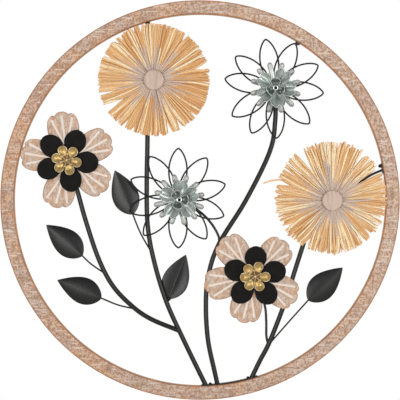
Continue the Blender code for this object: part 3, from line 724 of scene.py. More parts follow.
WELDED_LEAF_FOLD = 0.0030
WELDED_LEAF_HEIGHT = -0.538
WELDED_LEAF_ANGLE = 68.5
WELDED_LEAF_PILLOWS = (0.0008, 0.0014)
welded_foot = height_on(left_route, WELDED_LEAF_HEIGHT) + (STEM_DIAMETER * 0.65, 0, 0)
leaf("4", welded_foot * (1, 0, 1), WELDED_LEAF_ANGLE, STEM_STANDOFF - GAP, -WELDED_LEAF_FOLD,
     WELDED_LEAF_PILLOWS)

# %% [markdown]
# ## Wire flowers
# Each wire flower has two stars, and each star is one closed wire bent into five petals. A Bezier circle
# with a bevel could be pulled into shape point by point, but a formula bends all the petals alike.

# %% Bend the wire stars
WIRE_DIAMETER = 0.0025
STAR_REACH = 0.0870
STAR_PETAL_WIDTH = 0.0318
STAR_HUB = 0.009
STAR_START = 0.62
STAR_STEPS = 26


def star(node, centre, angles):
    """Five petals of one wire: distance out goes as 1 - cos(phi), half width as sin(phi) ** 1.4."""
    step = np.arange(-STAR_STEPS, STAR_STEPS + 1) / STAR_STEPS
    phi = np.pi - (np.pi - STAR_START) * np.abs(step)
    out = STAR_HUB + (STAR_REACH - STAR_HUB) * (1 - np.cos(phi)) / 2
    half = STAR_PETAL_WIDTH / 2 * np.abs(np.sin(phi)) ** 1.4 * np.sign(step)
    turns = np.sort(np.array(angles, dtype=float))[:, None]
    low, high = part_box(node)
    route = heading(turns) * out[:, None] + heading(turns + 90) * half[:, None]
    route = centre + route.reshape(-1, 3) - FRONT * (low.y + high.y) / 2
    radius = WIRE_DIAMETER / 2 + LACQUER
    rings = rings_along(route, radius, radius, WIRE_SIDES, True)
    put(node, rings, skin(rings, True), wire_steel)


star("high_wire_star_front", high_wire, (99.7, 27.7, -44.7, -116.5, 168.7))
star("high_wire_star_back", high_wire, (64.7, -5.2, -86.8, -146.8, 140.0))
star("low_wire_star_front", low_wire, (88.6, 16.0, -54.6, -132.1, 158.2))
star("low_wire_star_back", low_wire, (53.5, -21.0, -88.6, -164.8, 123.7))

# %% [markdown]
# ## A petal's outline
# Zinc, blossom, black and gold flowers are all blanks stamped from sheet. A petal's outline is a breadth
# that changes along its length: parabolas make its waist, belly and shoulder, and half of an ellipse
# makes a round end.


# %% Draw a petal's outline
def petal_grid(rows, columns, round_end=False):
    """Shares of a petal's length as a column, and places from its right edge to its left as a row.

    A round end has its rows closer together towards the tip, where its outline turns most.
    """
    share = np.linspace(0, 1, rows)
    if round_end:
        share = np.sin(share * np.pi / 2)
    return share[:, None], np.linspace(-1, 1, columns)[None, :]


def breadth_at(share, waist, belly, shoulder):
    """A petal's breadth: 1 at the belly, falling as a parabola to the waist and to the shoulder."""
    low = 1 - (1 - waist) * ((belly - share) / belly) ** 2
    high = 1 - (1 - shoulder) * ((share - belly) / (1 - belly)) ** 2
    return np.where(share < belly, low, high)


def round_breadth(share, waist, belly):
    """The breadth of a petal with a round end: past the belly it is half of an ellipse."""
    beyond = np.clip((share - belly) / (1 - belly), 0, 1)
    return np.where(share < belly, breadth_at(share, waist, belly, 1.0), np.sqrt(1 - beyond**2))


print("breadths from hub to tip", round_breadth(np.linspace(0, 1, 5), 0.66, 0.46).round(2))

# %% [markdown]
# ## Petals on a hub
# One function stamps every plate. It works out where each point of a petal would lie on the hub's circle
# and where it lies on the petal, and glides from the one to the other, so no seam shows between them.

# %% Stamp a plate
HUB_ROWS = 3


def hub_front(node, dish=0.0):
    """How far from the wall the front of a plate's flat hub is, from the solid's back."""
    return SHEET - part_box(node)[1].y - dish


def plate(node, centre, angles, finish, grid, hub, reach, breadth, width, lift, values, blend, hole=0.0,
          dish=0.0):
    """A plate of petals, whose reach, breadth and lift may differ by petal, row and column.

    A point is hub + (reach - hub) * share out, breadth * side * width / 2 aside and lift to the front.
    """
    share, side = grid
    turns = np.sort(np.array(angles, dtype=float))
    shape = (len(turns), share.size, side.size)
    to_next = ((np.roll(turns, -1) - turns) % 360 / 2)[:, None]
    to_last = ((turns - np.roll(turns, 1)) % 360 / 2)[:, None]
    spokes = heading(turns[:, None] + np.where(side > 0, to_next, to_last) * side)[:, None]
    radii = np.linspace(hole, hub, HUB_ROWS, endpoint=False)[:, None, None]
    middle = spokes * radii + dish * (1 - radii / hub) * -FRONT
    out = hub + (reach - hub) * share
    aside = breadth * side * width / 2
    petal = (heading(turns)[:, None, None] * out[..., None]
             + heading(turns + 90)[:, None, None] * aside[..., None])
    gone = smooth(np.linspace(0, 1, share.size) / blend)[:, None, None]
    petal = spokes * hub * (1 - gone) + petal * gone + lift[..., None] * FRONT
    points = np.concatenate([middle, petal], axis=1) + centre + hub_front(node, dish) * FRONT
    carried = {}
    for key, value in values.items():
        whole = np.broadcast_to(value, shape)
        carried[key] = np.concatenate([np.repeat(whole[:, :1], HUB_ROWS, axis=1), whole], axis=1)
    faces = grid_faces(share.size + HUB_ROWS, side.size, copies=len(turns))
    put(node, points, faces, finish, carried, SHEET)


# %% [markdown]
# ## Zinc
# The centres of the wire flowers are galvanised sheet: grey-green, with a soft spangle. A painted highlight
# runs along each bent rim, and painted shade darkens the cups, the insides of the rosettes and the lobes'
# outlines. It is a metal, so most of its look comes from bends in the sheet; the spangle only clouds it.

# %% Mix the zinc
zinc = Finish("zinc", Metallic=0.88)
spangle = zinc.noise(260, 3, distortion=0.8)
pale = zinc.value("pale")
zinc_colour = zinc.coats(
    (168, 180, 175),
    (spangle.rise(0.40, 0.62), (192, 200, 196)),
    (zinc.noise(70, 2).rise(0.45, 0.65) * 0.5, (176, 182, 178)),
    (pale * 0.6, (184, 180, 176)),
    # painted shade: darker in the cups' bowls, inside the rosettes and along the lobes' outlines
    (zinc.value("painted_shade"), (88, 98, 94)),
    # painted highlight along the bent rims of the cups and rosettes
    (zinc.value("rim").rise(0.35, 1.0) * 0.7, (236, 240, 236)))
zinc.wear(Base_Color=zinc_colour, Roughness=0.30 + 0.12 * spangle + 0.14 * pale,
          Normal=zinc.bump(spangle, 0.05, 0.0006))

# %% [markdown]
# ## Zinc lobes
# The lowest zinc plate has twelve narrow lobes. Each is a little trough, and its outer half is paler than
# the rest. An Array modifier could turn one lobe into twelve, but they would all bend alike. Here each
# has its own bend, from one seed a flower, so the bends stay the same in each run.

# %% Stamp the lobes
EYELET_HOLE = 0.0033
LOBES_HUB = 0.013
LOBES_REACH = 0.0445
LOBE_WIDTH = 0.0085
LOBE_TROUGH = 0.0012
LOBE_BENDS = (0.0012, 0.0036)
ZINC_FLOWERS = {"high": (high_zinc, np.random.default_rng(3)), "low": (low_zinc, np.random.default_rng(8))}


def rim_of(share, side):
    """1 at a petal's outline, falling to 0 a fifth of the way in."""
    return np.clip(1 - np.minimum(1 - np.abs(side), (1 - share) * 1.4) / 0.2, 0, 1)


def zinc_lobes(name, first):
    """Twelve lobes with round ends. A lobe's bend goes as its share squared."""
    centre, draw = ZINC_FLOWERS[name]
    grid = share, side = petal_grid(24, 15, round_end=True)
    breadth = round_breadth(share, waist=0.72, belly=0.84)
    lift = draw.uniform(*LOBE_BENDS, (12, 1, 1)) * share**2
    lift = lift + LOBE_TROUGH * (side**2 - 0.4) * smooth(share * 4) * breadth
    # painted shade along each lobe's outline; the paler outer half is the lobe's own colour
    values = {"rim": 0 * share, "painted_shade": 0.45 * rim_of(share, side), "pale": smooth(share * 2 - 0.6)}
    plate(f"{name}_zinc_lobes", centre, first + np.arange(12) * 30, zinc, grid, LOBES_HUB, LOBES_REACH,
          breadth, LOBE_WIDTH, lift, values, 0.4, EYELET_HOLE)


zinc_lobes("high", 14)
zinc_lobes("low", 12)

# %% [markdown]
# ## Zinc cups
# On the lobes lies a plate of five broad petals with a notch in their ends. They are bent up, curled at
# both sides, and rolled a little to one side, so that each catches the light in another way. Sculpting
# would thin the sheet here and there, while a sum of three bends keeps it even.

# %% Stamp the cups
CUP_HUB = 0.0085
CUP_REACH = 0.0355
CUP_WIDTH = 0.0265
CUP_NOTCH = 0.0042
CUP_ROUND = 0.0062
CUP_CURL = 0.0064
CUP_BENDS = (0.0040, 0.0100)
CUP_ROLL = 0.0030


def zinc_cup(name, angles):
    """Five cups. The side's curl goes as side ** 2, and the notch as a bell round the middle."""
    centre, draw = ZINC_FLOWERS[name]
    grid = share, side = petal_grid(30, 31)
    end = CUP_REACH - CUP_ROUND * side**4 - CUP_NOTCH * np.exp(-(side / 0.22) ** 2)
    bend = draw.uniform(*CUP_BENDS, (5, 1, 1))
    roll = draw.uniform(-CUP_ROLL, CUP_ROLL, (5, 1, 1))
    lift = bend * share**1.6 + (CUP_CURL * side**2 + roll * side) * np.sin(np.pi * share * 0.72)
    # painted shade in the middle of each cup's bowl
    painted_shade = 0.7 * np.exp(-((share - 0.35) / 0.30) ** 2 - (side / 0.55) ** 2)
    plate(f"{name}_zinc_cup", centre, angles, zinc, grid, CUP_HUB, end,
          breadth_at(share, waist=0.40, belly=0.70, shoulder=0.78), CUP_WIDTH, lift,
          {"rim": rim_of(share, side), "painted_shade": painted_shade, "pale": 0 * share}, 0.4, EYELET_HOLE)


zinc_cup("high", (147, 60, -6, -79, -148))
zinc_cup("low", (86, 22, -48, -124, 158))

# %% [markdown]
# ## Zinc rosettes
# The top plate has three small bowls round the eyelet, steeper than the cups. Their insides see little
# light, and the mesh carries a value that darkens them, because a few pixels of shadow aren't enough.

# %% Stamp the rosettes
ROSETTE_HUB = 0.0060
ROSETTE_REACH = 0.0160
ROSETTE_WIDTH = 0.0180
ROSETTE_RISE = 0.0064
ROSETTE_CURL = 0.0040


def zinc_rosette(name, angles):
    """Three bowls, which rise as share ** 2.2 and curl as side ** 2."""
    grid = share, side = petal_grid(24, 25, round_end=True)
    breadth = round_breadth(share, waist=0.60, belly=0.45)
    lift = ROSETTE_RISE * share**2.2 + ROSETTE_CURL * side**2 * breadth * np.sin(np.pi * share * 0.7)
    # painted shade inside each bowl, strongest near the eyelet
    painted_shade = smooth(1.9 - 1.6 * share) * smooth(1.9 - 1.6 * np.abs(side))
    plate(f"{name}_zinc_rosette", ZINC_FLOWERS[name][0], angles, zinc, grid, ROSETTE_HUB, ROSETTE_REACH,
          breadth, ROSETTE_WIDTH, lift,
          {"rim": rim_of(share, side), "painted_shade": painted_shade, "pale": 0 * share}, 0.3, EYELET_HOLE)


zinc_rosette("high", (90, -30, 210))
zinc_rosette("low", (122, 0, -106))

# %% [markdown]
# ## Eyelets
# A tubular rivet holds the zinc plates: a bright rolled ring round a black hole. A torus would look the
# same from the front. This profile also runs down the bore and the shank, so the hole is really there,
# and the bore and the inner slope of the roll are painted near black as painted shade.

# %% Turn the eyelets
EYELET_RADIUS = 0.0050
EYELET_BORE = 0.0022
EYELET_SHANK = 0.0030
EYELET_HEAD = 0.0018
EYELET_ROLL = 0.7 * EYELET_HEAD
EYELET_STEPS = 36
# The painted shade of the bore reaches this far past the bore.
BORE_SHADE = 0.0008  # how far past the bore the shade reaches
bright_zinc = Finish("eyelet_zinc", "zinc")
scratches = bright_zinc.noise(700, 2)
# painted shade: the bore and the inner slope of the roll are near black, not metal and rough
shade = bright_zinc.value("bore")
bright = bright_zinc.coats((214, 218, 214), (scratches, (244, 245, 243)), (shade, (14, 14, 14)))
bright_zinc.wear(Base_Color=bright, Metallic=1 - shade, Roughness=0.12 + 0.14 * scratches + 0.6 * shade)


def eyelet(name):
    """A closed profile turned: up the bore, over a rolled head and down the shank."""
    low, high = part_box(f"{name}_eyelet")
    length = high.y - low.y
    lip = (EYELET_RADIUS - EYELET_BORE) / 2
    over = corner((0, 0), 1, 0, 180, 9) * (lip, EYELET_ROLL) + (EYELET_BORE + lip, length - EYELET_ROLL)
    profile = np.concatenate([[(EYELET_SHANK, 0), (EYELET_SHANK, length - EYELET_HEAD),
                               (EYELET_RADIUS, length - EYELET_HEAD)], over, [(EYELET_BORE, 0)]])
    rings = turned(profile, ZINC_FLOWERS[name][0] - FRONT * high.y, FRONT, EYELET_STEPS)
    put(f"{name}_eyelet", rings, skin(rings, True), bright_zinc,
        {"bore": np.repeat(profile[:, 0] < EYELET_BORE + BORE_SHADE, EYELET_STEPS)})


eyelet("high")
eyelet("low")

# %% [markdown]
# ## Limed petals
# The large petals are sheet metal painted to look like limed wood: mottled pink, grey and cream, rubbed
# brown along the rim, with three raised veins that stay cream. Their rim and veins follow each petal, so
# the grid carries both as values, and the finish reads them.

# %% Mix the petal finish
petal_paint = Finish("whitewashed_petals", Specular_IOR_Level=0.25)
linen = petal_paint.noise(230, 3, (1.0, 1.0, 0.45), (0, 0.4, 0))
thread = petal_paint.noise(260, 2, (0.4, 1.0, 1.6), (0, 0.4, 0))
tints = petal_paint.noise(75, 3, distortion=0.5)
flecks = petal_paint.noise(520, 3)
worn = (petal_paint.value("rim") + 0.4 * flecks).rise(0.40, 0.85)
brown = petal_paint.coats((158, 118, 88), (tints.rise(0.48, 0.58), (198, 138, 98)))
paint = petal_paint.coats(
    (188, 156, 132),
    (linen.rise(0.42, 0.58), (216, 197, 180)),
    (thread.rise(0.48, 0.62) * 0.5, (190, 158, 136)),
    (tints.rise(0.50, 0.60) * 0.35, (218, 172, 140)),
    ((1 - tints).rise(0.52, 0.64) * 0.5, (200, 188, 180)),
    (flecks.rise(0.54, 0.64) * 0.5, (168, 128, 100)),
    (petal_paint.value("vein").rise(0.20, 0.60) * 0.9, (240, 228, 218)),
    (worn * 0.85, brown))
petal_paint.wear(Base_Color=paint, Roughness=0.60 + 0.3 * linen,
                 Normal=petal_paint.bump(linen + flecks, 0.30, 0.0006))

# %% [markdown]
# ## Petals of the blossoms
# A large petal ends in three lobes. The middle one is a low arch and the outer two fall away. Three veins
# fan out over it. A picture of veins would look flat from the side, so they are ridges in the sheet.

# %% Stamp the large petals
BLOSSOM_HUB = 0.014
PETAL_WIDTH = 0.056
VEIN_START = 0.022
VEIN_SPREAD = np.array([-0.36, 0.0, 0.36])[:, None, None, None]
VEIN_HALF = 0.0016
VEIN_HEIGHT = 0.0013
VEIN_SHORT = 0.0075  # from a vein's end to the rim
VEIN_FADE = 0.0022
RIM_LINE = 0.0026
ARCH_FALL = 0.0062  # from the tip to the notch between two lobes
OUTER_RISE = 0.0085
OUTER_FALL = 0.0150
PETAL_RISE = 0.0020
PETAL_WAVE = 0.0006
PETAL_WARP = 0.0006
LEFT_REACHES = (0.0860, 0.0860, 0.0855, 0.0860, 0.0838)
LOW_PETALS = (-167, -103, -29, 45, 129.5)
LOW_REACHES = (0.0880, 0.0845, 0.0867, 0.0828, 0.0853)


def petals(name, centre, angles, reaches, seed):
    """Five large petals. A vein is where the place aside is its spread times the way out."""
    draw = np.random.default_rng(seed)
    grid = share, side = petal_grid(60, 97)
    wide = np.abs(side)
    outer = (wide - 0.5) / 0.5
    beyond = ARCH_FALL - OUTER_RISE * outer + OUTER_FALL * outer**2
    fall = np.where(wide < 0.5, ARCH_FALL * (2 * wide) ** 2.4, beyond)
    end = np.array(reaches)[:, None, None] - fall
    out = BLOSSOM_HUB + (end - BLOSSOM_HUB) * share
    breadth = breadth_at(share, waist=0.28, belly=0.72, shoulder=0.90)
    half = breadth * PETAL_WIDTH / 2
    thick = VEIN_HALF + 0.0006 * share
    ridge = np.exp(-((half * side - VEIN_SPREAD * (out - VEIN_START)) / thick) ** 2).max(0)
    ridge = ridge * smooth(share * 7) * smooth((end - VEIN_SHORT - out) / VEIN_FADE + 0.5)
    warp = draw.uniform(-PETAL_WARP, PETAL_WARP, (5, 1, 1))
    lift = PETAL_RISE * share**2 + VEIN_HEIGHT * ridge + warp * side * share
    lift = lift + PETAL_WAVE * np.cos(3 * np.pi * side) * np.sin(np.pi * share**0.8)
    inset = np.minimum((1 - wide) * half, (end - BLOSSOM_HUB) * (1 - share))
    plate(f"{name}_petals", centre, angles, petal_paint, grid, BLOSSOM_HUB, end, breadth, PETAL_WIDTH, lift,
          {"vein": ridge, "rim": np.clip(1 - inset / RIM_LINE, 0, 1)}, 0.2)


petals("left_blossom", left_blossom + PETALS_SHIFT_LEFT, LEFT_PETALS, LEFT_REACHES, 11)
petals("low_blossom", low_blossom + PETALS_SHIFT_LOW, LOW_PETALS, LOW_REACHES, 12)

# %% [markdown]
# ## Black plates
# Between the large petals and the gold lies a plate of five round black petals. It is powder-coated and
# nearly flat, so it stays black where all else shines. No two of its petals reach equally far.

# %% Stamp the black plates
BLACK_HUB = 0.0145
BLACK_WIDTH = 0.0385
BLACK_DISH = 0.0005
BLACK_RISE = 0.0010
BLACK_CURL = 0.0008
matt_black = Finish("matt_black", Specular_IOR_Level=0.12)
powder = matt_black.noise(800, 3)
soil = matt_black.noise(90, 2).rise(0.5, 0.7)
matt_black.wear(Base_Color=matt_black.coats((18, 17, 16), (soil * 0.4, (32, 29, 26))),
                Roughness=0.55 + 0.2 * powder, Normal=matt_black.bump(powder, 0.25, 0.0004))


def black_plate(name, centre, angles, reaches):
    """Five petals with round ends, whose sides curl up by less than a millimetre."""
    grid = share, side = petal_grid(40, 33, round_end=True)
    breadth = round_breadth(share, waist=0.66, belly=0.46)
    lift = BLACK_RISE * share**2 + BLACK_CURL * side**2 * breadth * np.sin(np.pi * share * 0.75)
    plate(f"{name}_black", centre, angles, matt_black, grid, BLACK_HUB, np.array(reaches)[:, None, None],
          breadth, BLACK_WIDTH, lift, {}, 0.3, dish=BLACK_DISH)


black_plate("left_blossom", left_blossom, (-155, -79, -6, 66, 137), (0.0558, 0.0560, 0.0555, 0.0566, 0.0582))
black_plate("low_blossom", low_blossom, (-130, -56, 14, 88, 162), (0.0570, 0.0560, 0.0552, 0.0532, 0.0560))

# %% [markdown]
# ## Gold cups
# Six spoons of gilt sheet stand round the middle of a blossom. Their pale rims are rubbed gilding and a
# painted highlight, the dark middle is painted shade, and a coarse bump breaks its reflections up as leaf
# metal does.

# %% Stamp the gold cups
GOLD_HUB = 0.0075
GOLD_REACH = 0.0262
GOLD_WIDTH = 0.0163
SPOON_DEPTH = 0.0026
SPOON_BENDS = (0.0026, 0.0046)
LEFT_GOLD = (113, 52, -13, -73.5, -135, 169)
LOW_GOLD = (132, 72, -1, -66, -125, -176.5)
gold = Finish("gold", Metallic=0.75)
leafing = gold.noise(420, 3, distortion=0.6)
gilt = gold.coats(
    (176, 142, 84),
    (leafing.rise(0.40, 0.62), (220, 192, 132)),
    (leafing.rise(0.54, 0.62) * 0.75, (96, 66, 34)),
    # partly rubbed gilding and partly a painted highlight on the spoons' rims
    (gold.value("rim").rise(0.2, 0.9) * 0.85, (246, 232, 194)),
    # painted shade in the middle of the flower, where the spoons meet
    (gold.value("throat_shade") * 0.85, (84, 56, 28)))
gold.wear(Base_Color=gilt, Roughness=0.24 + 0.2 * leafing, Normal=gold.bump(leafing, 0.45, 0.0008))


def gold_plate(name, centre, angles, seed):
    """Six spoons, bent up and cupped, each by its own amount."""
    draw = np.random.default_rng(seed)
    grid = share, side = petal_grid(32, 25, round_end=True)
    breadth = round_breadth(share, waist=0.26, belly=0.58)
    bend = draw.uniform(*SPOON_BENDS, (6, 1, 1))
    from_bowl = (2 * share - 1.1) ** 2 + (breadth * side) ** 2
    lift = bend * share**2 + SPOON_DEPTH * np.clip(from_bowl, 0, 1) * smooth(share * 3)
    rim = np.clip(1 - (1 - from_bowl) / 0.30, 0, 1) * smooth(share * 3 - 0.6)
    plate(f"{name}_gold", centre, angles, gold, grid, GOLD_HUB, GOLD_REACH, breadth, GOLD_WIDTH, lift,
          {"rim": rim, "throat_shade": smooth(1 - 2.6 * share)}, 0.3)


gold_plate("left_blossom", left_blossom, LEFT_GOLD, 5)
gold_plate("low_blossom", low_blossom, LOW_GOLD, 6)

# %% [markdown]
# ## Stamens
# In the middle of each gold cup stand thin curved stamens with ball ends, round a larger ball. Blender's
# own spheres would come one by one, so one function makes all the spheres of a flower at once.

# %% Stand the stamens
BALL_RADIUS = 0.0025
TIP_RADIUS = 0.0017
STAMEN_RADIUS = 0.0009
STAMEN_SIDES = 8
STAMEN_FOOT = 0.0024
STAMEN_OUT = 0.0086
STAMEN_UP = 0.0056
BALL_UP = 0.0022


def spheres(centres, radii, rows=9, columns=12):
    """Spheres as rings between two small flat poles, many at once."""
    polar = np.linspace(0.08, np.pi - 0.08, rows)[:, None, None]
    around = round_steps(columns)[None, :, None]
    across = np.sin(polar) * (np.cos(around) * np.array([1.0, 0, 0]) - np.sin(around) * np.array([0, 0, 1.0]))
    shape = across - np.cos(polar) * FRONT
    return np.array(centres)[:, None, None] + np.reshape(radii, (-1, 1, 1, 1)) * shape


def stamens(name, centre, angles):
    """Six stamens that rise and lean outwards: out goes as the share, up as its power 0.7."""
    share = np.linspace(0, 1, 9)[:, None]
    foot = hub_front(f"{name}_stamens") - SHEET
    routes = centre + heading(np.array(angles)[:, None] + 30) * (STAMEN_FOOT + STAMEN_OUT * share)
    routes = routes + FRONT * (foot + STAMEN_UP * share**0.7)
    rods = rings_along(routes, STAMEN_RADIUS, STAMEN_RADIUS, STAMEN_SIDES)
    balls = spheres(np.concatenate([routes[:, -1], [centre + FRONT * (foot + BALL_UP)]]),
                    [TIP_RADIUS] * 6 + [BALL_RADIUS])
    count = rods.size // 3
    faces = skin(rods) + [[count + point for point in face_points] for face_points in skin(balls)]
    # the stamens and balls take the pale rim coat all over, as a painted highlight
    rims = np.concatenate([np.full(count, 0.6), np.full(balls.size // 3, 0.8)])
    put(f"{name}_stamens", np.concatenate([rods.reshape(-1, 3), balls.reshape(-1, 3)]), faces, gold,
        {"rim": rims, "throat_shade": np.zeros_like(rims)})


stamens("left_blossom", left_blossom, LEFT_GOLD)
stamens("low_blossom", low_blossom, LOW_GOLD)

# %% [markdown]
# ## Raffia
# Raffia is torn palm leaf: flat strands, straw-coloured, whitewashed towards the middle of the flower.
# The rust-brown lines where one strand ends and the next begins are painted shade along each strand's
# edges, and the lower layers are painted darker as shade under the upper ones. The colours that belong to
# a strand are carried by the strand: how far out a point is, where its whitewash ends, its own colour
# darkened by its layer's painted shade, and how near the strand's edge the point lies. A noise alone
# would run across the strands and join them.

# %% Mix the raffia
raffia = Finish("raffia", Specular_IOR_Level=0.3)
fibre = raffia.noise(420, 3)
tint_and_layer_shade = raffia.value("tint_and_layer_shade")
washed = (raffia.value("wash") + 0.16 * fibre - raffia.value("out")).rise(0.02, 0.12)
limed = raffia.coats((206, 186, 172), (tint_and_layer_shade.rise(0.3, 0.7), (196, 180, 172)),
                     (fibre.rise(0.50, 0.66) * 0.5, (228, 214, 202)))
# each strand's own random colour, darkened on the lower layers as painted shade
straw = raffia.coats(
    (222, 168, 110),
    (tint_and_layer_shade.rise(0.15, 0.60), (238, 196, 142)),
    (tint_and_layer_shade.rise(0.72, 0.88), (250, 230, 190)),
    ((1 - tint_and_layer_shade).rise(0.92, 0.99) * 0.8, (204, 140, 90)),
    (fibre.rise(0.52, 0.66) * 0.5, (206, 152, 102)),
    (washed * 0.9, limed),
    # painted shade along each strand's edges
    (raffia.value("edge_shade").rise(0.62, 1.0) * 0.7, (176, 116, 72)))
raffia.wear(Base_Color=straw, Roughness=0.60 + 0.25 * fibre, Normal=raffia.bump(fibre, 0.3, 0.0006))

# %% [markdown]
# ## Splits in the raffia
# Raffia lies in tufts with narrow gaps between them. A split says at which angle it opens, how wide, and
# at which share of the radius it starts. The strands beside it lean away, and the further out, the more,
# so a gap is a wedge and no strand is cut.

# %% Lean strands away from splits
TUFT_LEAN = 1.9  # degrees that strands by a split lean further
TUFT_WIDTH = 5  # degrees in which that lean fades
LEFT_SPLITS = (
    (105, 3, 0.80), (111, 2, 0.82), (128, 2.5, 0.80), (134, 2, 0.82), (152.6, 3, 0.70), (166, 2.5, 0.92),
    (195, 3, 0.55), (211, 9, 0.50), (221, 2, 0.85), (237.2, 4, 0.68), (246.6, 3, 0.85), (255, 2, 0.90),
    (266, 2.5, 0.73), (276.6, 2, 0.85), (287.4, 5, 0.60), (299.4, 4, 0.72), (319.3, 3, 0.70),
    (357, 1.6, 0.66), (6.5, 1.2, 0.84), (14.8, 6, 0.66), (54.6, 2, 0.80), (71.9, 1.5, 0.87))
RIGHT_SPLITS = (
    (123.5, 9, 0.40), (161, 6, 0.60), (22, 3, 0.55), (33.5, 9, 0.40), (48, 3, 0.55), (57, 3, 0.60),
    (5, 3, 0.70), (-20, 5, 0.50), (-30, 3, 0.60), (-40, 4, 0.60), (-53, 6, 0.55), (-61, 3, 0.65),
    (-121, 7, 0.60), (-151, 4, 0.60), (-159.5, 4, 0.55), (85, 2, 0.8), (-80, 2, 0.8))


def degrees_from(degrees, turn):
    """How far each strand's angle is from this one, from -180 to 180."""
    return (turn - degrees + 180) % 360 - 180


def lean_away(angle, turn, share, splits):
    """Adds a lean to the strands' angles: half of a split's opening, less with the distance from it."""
    for degrees, opening, start in splits:
        off = degrees_from(degrees, turn)
        lean = np.sign(off) * (opening + TUFT_LEAN) / 2 * np.exp(-np.abs(off) / TUFT_WIDTH)
        angle += lean[:, None] * smooth((share - start) / (1.02 - start))


print(len(LEFT_SPLITS), "and", len(RIGHT_SPLITS), "splits")

# %% [markdown]
# ## Raffia flowers
# Hair would be dropped when the model leaves here, and a flat disc has no edge worth looking at, so every
# strand is a mesh of its own: a thin oval carried from under the button to the rim. The right flower is
# the more ragged one: it is pulled off its middle, and one strand has come loose.

# %% Spread the raffia
RAFFIA_RADIUS = 0.0985
RAFFIA_BACK = STEM_FRONT + GAP
RAFFIA_SLOPE = 0.0593  # forward over out, so that the rim passes in front of the hoop
STRANDS = 520
STRAND_STEPS = 18
STRAND_SIDES = 6
STRAND_BREADTH = 0.0040
STRAND_HALF_THICKNESS = 0.00042
LAYERS = 3
LAYER_STEP = 0.0017
LOWEST_STRAND = 0.0008
RIGHT_STRAYS = ((96, 9, 0.62), (101, 5, 0.72), (-118, 5, 0.6), (30, 4, 0.6))


def raffia_fan(name, centre, splits, seed, ragged=0.03, unruly=0.9, paler=0.0, pull=(0, 0), strays=(),
               loose=()):
    """Strands in three layers. A strand's angle is its own, plus a lean from each split near it.

    The longer strands lie on the side of pull. In strays (degrees, width, end) the whitewash runs on to
    that end, and a loose strand (degrees, extra, bend) is longer and bends away.
    """
    draw = np.random.default_rng(seed)
    turn = (np.arange(STRANDS) + draw.uniform(-0.7, 0.7, STRANDS)) * 360 / STRANDS
    layer = draw.permutation(STRANDS) % LAYERS
    reach = 1 - ragged * draw.uniform(0, 1, STRANDS) ** 2 - 0.006 * (1 + np.sin(turn * 0.31))
    reach += 0.012 * np.exp(-((turn - 100) / 25) ** 2)
    share = np.linspace(0.10, 1, STRAND_STEPS)[None, :]
    own = draw.normal(0, 1, (3, STRANDS, 1))
    reach += 0.3 * ragged * (own[2, :, 0] > 1.3) + heading(turn)[:, (0, 2)] @ np.array(pull)
    angle = turn[:, None] + unruly * (own[0] * (share - 0.3) + 0.6 * np.sin(4 * share + 2 * own[1]) * share)
    lean_away(angle, turn, share, splits)
    for degrees, extra, bend in loose:
        strand = np.abs(turn - degrees).argmin()
        reach[strand] += extra
        angle[strand] += bend * share[0] ** 3
    radius = RAFFIA_RADIUS * reach[:, None] * share
    wave = 0.0005 * np.sin(5 * share + 3 * own[2]) + 0.0004 * own[1]
    lifted = LOWEST_STRAND + layer[:, None] * LAYER_STEP + np.clip(wave, -0.0009, 0.0012)
    forward = RAFFIA_BACK + RAFFIA_SLOPE * radius + lifted
    routes = centre + heading(angle) * radius[..., None] + forward[..., None] * FRONT
    breadth = STRAND_BREADTH * draw.uniform(0.55, 1.15, (STRANDS, 1))
    across = breadth / 2 * (0.30 + 0.70 * share) * (1 - 0.35 * smooth((share - 0.9) * 10))
    rings = rings_along(routes, across, STRAND_HALF_THICKNESS, STRAND_SIDES)
    # a random colour per strand, lowered on the lower layers as painted shade under the upper ones
    tints = np.clip(draw.uniform(0, 1, STRANDS) * (0.55 + 0.25 * layer) + paler, 0, 1)
    washes = 0.28 + 0.42 * draw.uniform(0, 1, STRANDS) ** 2.2
    for degrees, width, end in strays:
        washes[np.abs(degrees_from(degrees, turn)) < width / 2] = end
    values = {"out": (share * reach[:, None])[..., None], "wash": washes[:, None, None],
              # edge values carry painted shade along the strand's sides
              "tint_and_layer_shade": tints[:, None, None], "edge_shade": np.abs(np.cos(round_steps(STRAND_SIDES)))}
    values = {key: np.broadcast_to(value, rings.shape[:-1]) for key, value in values.items()}
    put(f"{name}_raffia_fan", rings, skin(rings), raffia, values, name=f"{name}_raffia_strands")


raffia_fan("left", left_raffia, LEFT_SPLITS, 21)
raffia_fan("right", right_raffia, RIGHT_SPLITS, 22, ragged=0.09, unruly=2.0, paler=0.12,
           pull=(-0.022, 0.045), strays=RIGHT_STRAYS, loose=((152, 0.26, 14),))

# %% [markdown]
# ## Buttons
# A turned and limed wooden button covers the middle of each raffia flower. A cylinder with a bevel would
# have a flat face, and this one is a little domed, so it is a profile again. Its grain runs up and down,
# so the pattern is stretched along Z.

# %% Turn the buttons
BUTTON_EDGE = 0.0022
BUTTON_DOME = 0.0006
BUTTON_POLE = 0.02  # share of the radius that stays flat in the middle
button_wood = Finish("button_wood", Specular_IOR_Level=0.3)
grain = button_wood.noise(260, 3, (1.0, 1.0, 0.12))
limewash = button_wood.coats(
    (206, 184, 168),
    (grain.rise(0.42, 0.62), (192, 168, 150)),
    (button_wood.noise(60, 2).rise(0.52, 0.66) * 0.5, (206, 180, 170)))
button_wood.wear(Base_Color=limewash, Roughness=0.58 + 0.2 * grain,
                 Normal=button_wood.bump(grain, 0.25, 0.0005))

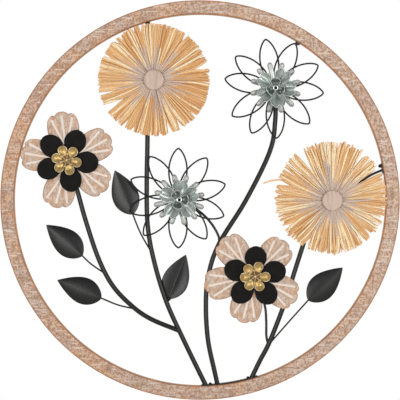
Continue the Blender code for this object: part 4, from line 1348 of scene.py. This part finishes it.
for name, centre in (("left", left_raffia), ("right", right_raffia)):
    low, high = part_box(f"{name}_raffia_button")
    radius = (high.z - low.z) / 2
    thick = high.y - low.y
    dome = np.linspace(radius - BUTTON_EDGE, radius * BUTTON_POLE, 9)[1:]
    profile = np.concatenate([
        [(radius * BUTTON_POLE, 0), (radius - BUTTON_DOME, 0), (radius, BUTTON_DOME)],
        corner((radius - BUTTON_EDGE, thick - BUTTON_DOME - BUTTON_EDGE), BUTTON_EDGE, 0, 90, 7),
        np.stack([dome, thick - BUTTON_DOME * (dome / radius) ** 2], axis=-1)])
    rings = turned(profile, centre - FRONT * high.y, FRONT, 64)
    put(f"{name}_raffia_button", rings, skin(rings), button_wood)

# %% [markdown]
# ## Welds
# Small lumps of weld join stalks and rods to their stems, and sit behind the eyelets. A stalk or rod ends
# at its weld, so its route says where. The lumps are spheres pushed out of round by a few sine waves.

# %% Add the welds
WELD_RADIUS = 0.0030
welds += [blossom_route[-1], low_blossom_rod[-1], low_wire_rod[-1], side_rod[-1], welded_foot,
          wire_route[0], low_wire_rod[0]]
beads = spheres(welds, np.linspace(1.0, 1.3, len(welds)) * WELD_RADIUS, 13, 16)
middles = np.array(welds)[:, None, None]
lumps = 1 + 0.12 * np.sin(beads[..., :1] * 1900) + 0.10 * np.sin(beads[..., 2:] * 2300)
put(None, middles + (beads - middles) * lumps, skin(beads), black_steel, name="weld_beads")

# %% [markdown]
# ## Screws and strips
# Two screws hold the strip at the bottom and one the plate at the right, and the brownish head of a
# fourth carries the tip of a wire petal. Half of a sphere would leave an open rim, so head and shank are
# one turned profile. The strip and the plate are good as they are and only get the steel's finish.

# %% Turn the screws
SHANK_RADIUS = 0.0015
SHANK_DEPTH = 0.012
SHANK_POINT = 0.002


def screw(node, head, height, degrees, seat=STRIP_FACE, finish=black_steel):
    """A domed head: height goes as the root of one less the radius squared."""
    low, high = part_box(node)
    inward = -heading(np.float64(degrees))
    place = np.array([0, (low.y + high.y) / 2, CENTRE_Z]) - inward * seat
    profile = np.concatenate([
        [(SHANK_RADIUS * 0.3, -SHANK_DEPTH), (SHANK_RADIUS, SHANK_POINT - SHANK_DEPTH), (SHANK_RADIUS, 0)],
        corner((0, 0), 1, 0, 88, 9) * (head, height)])
    rings = turned(profile, place, inward, 28)
    put(node, rings, skin(rings), finish)


screw("base_screw_left", 0.0029, 0.0028, -86.8)
screw("base_screw_right", 0.0029, 0.0028, -74.9)
screw("side_screw", 0.0035, 0.0050, 10.7)
screw("petal_screw", 0.0048, 0.0050, 58.1, WALL, screw_steel)
for node in ("base_strip", "side_plate"):
    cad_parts[node].material_slots[0].material = black_steel.material
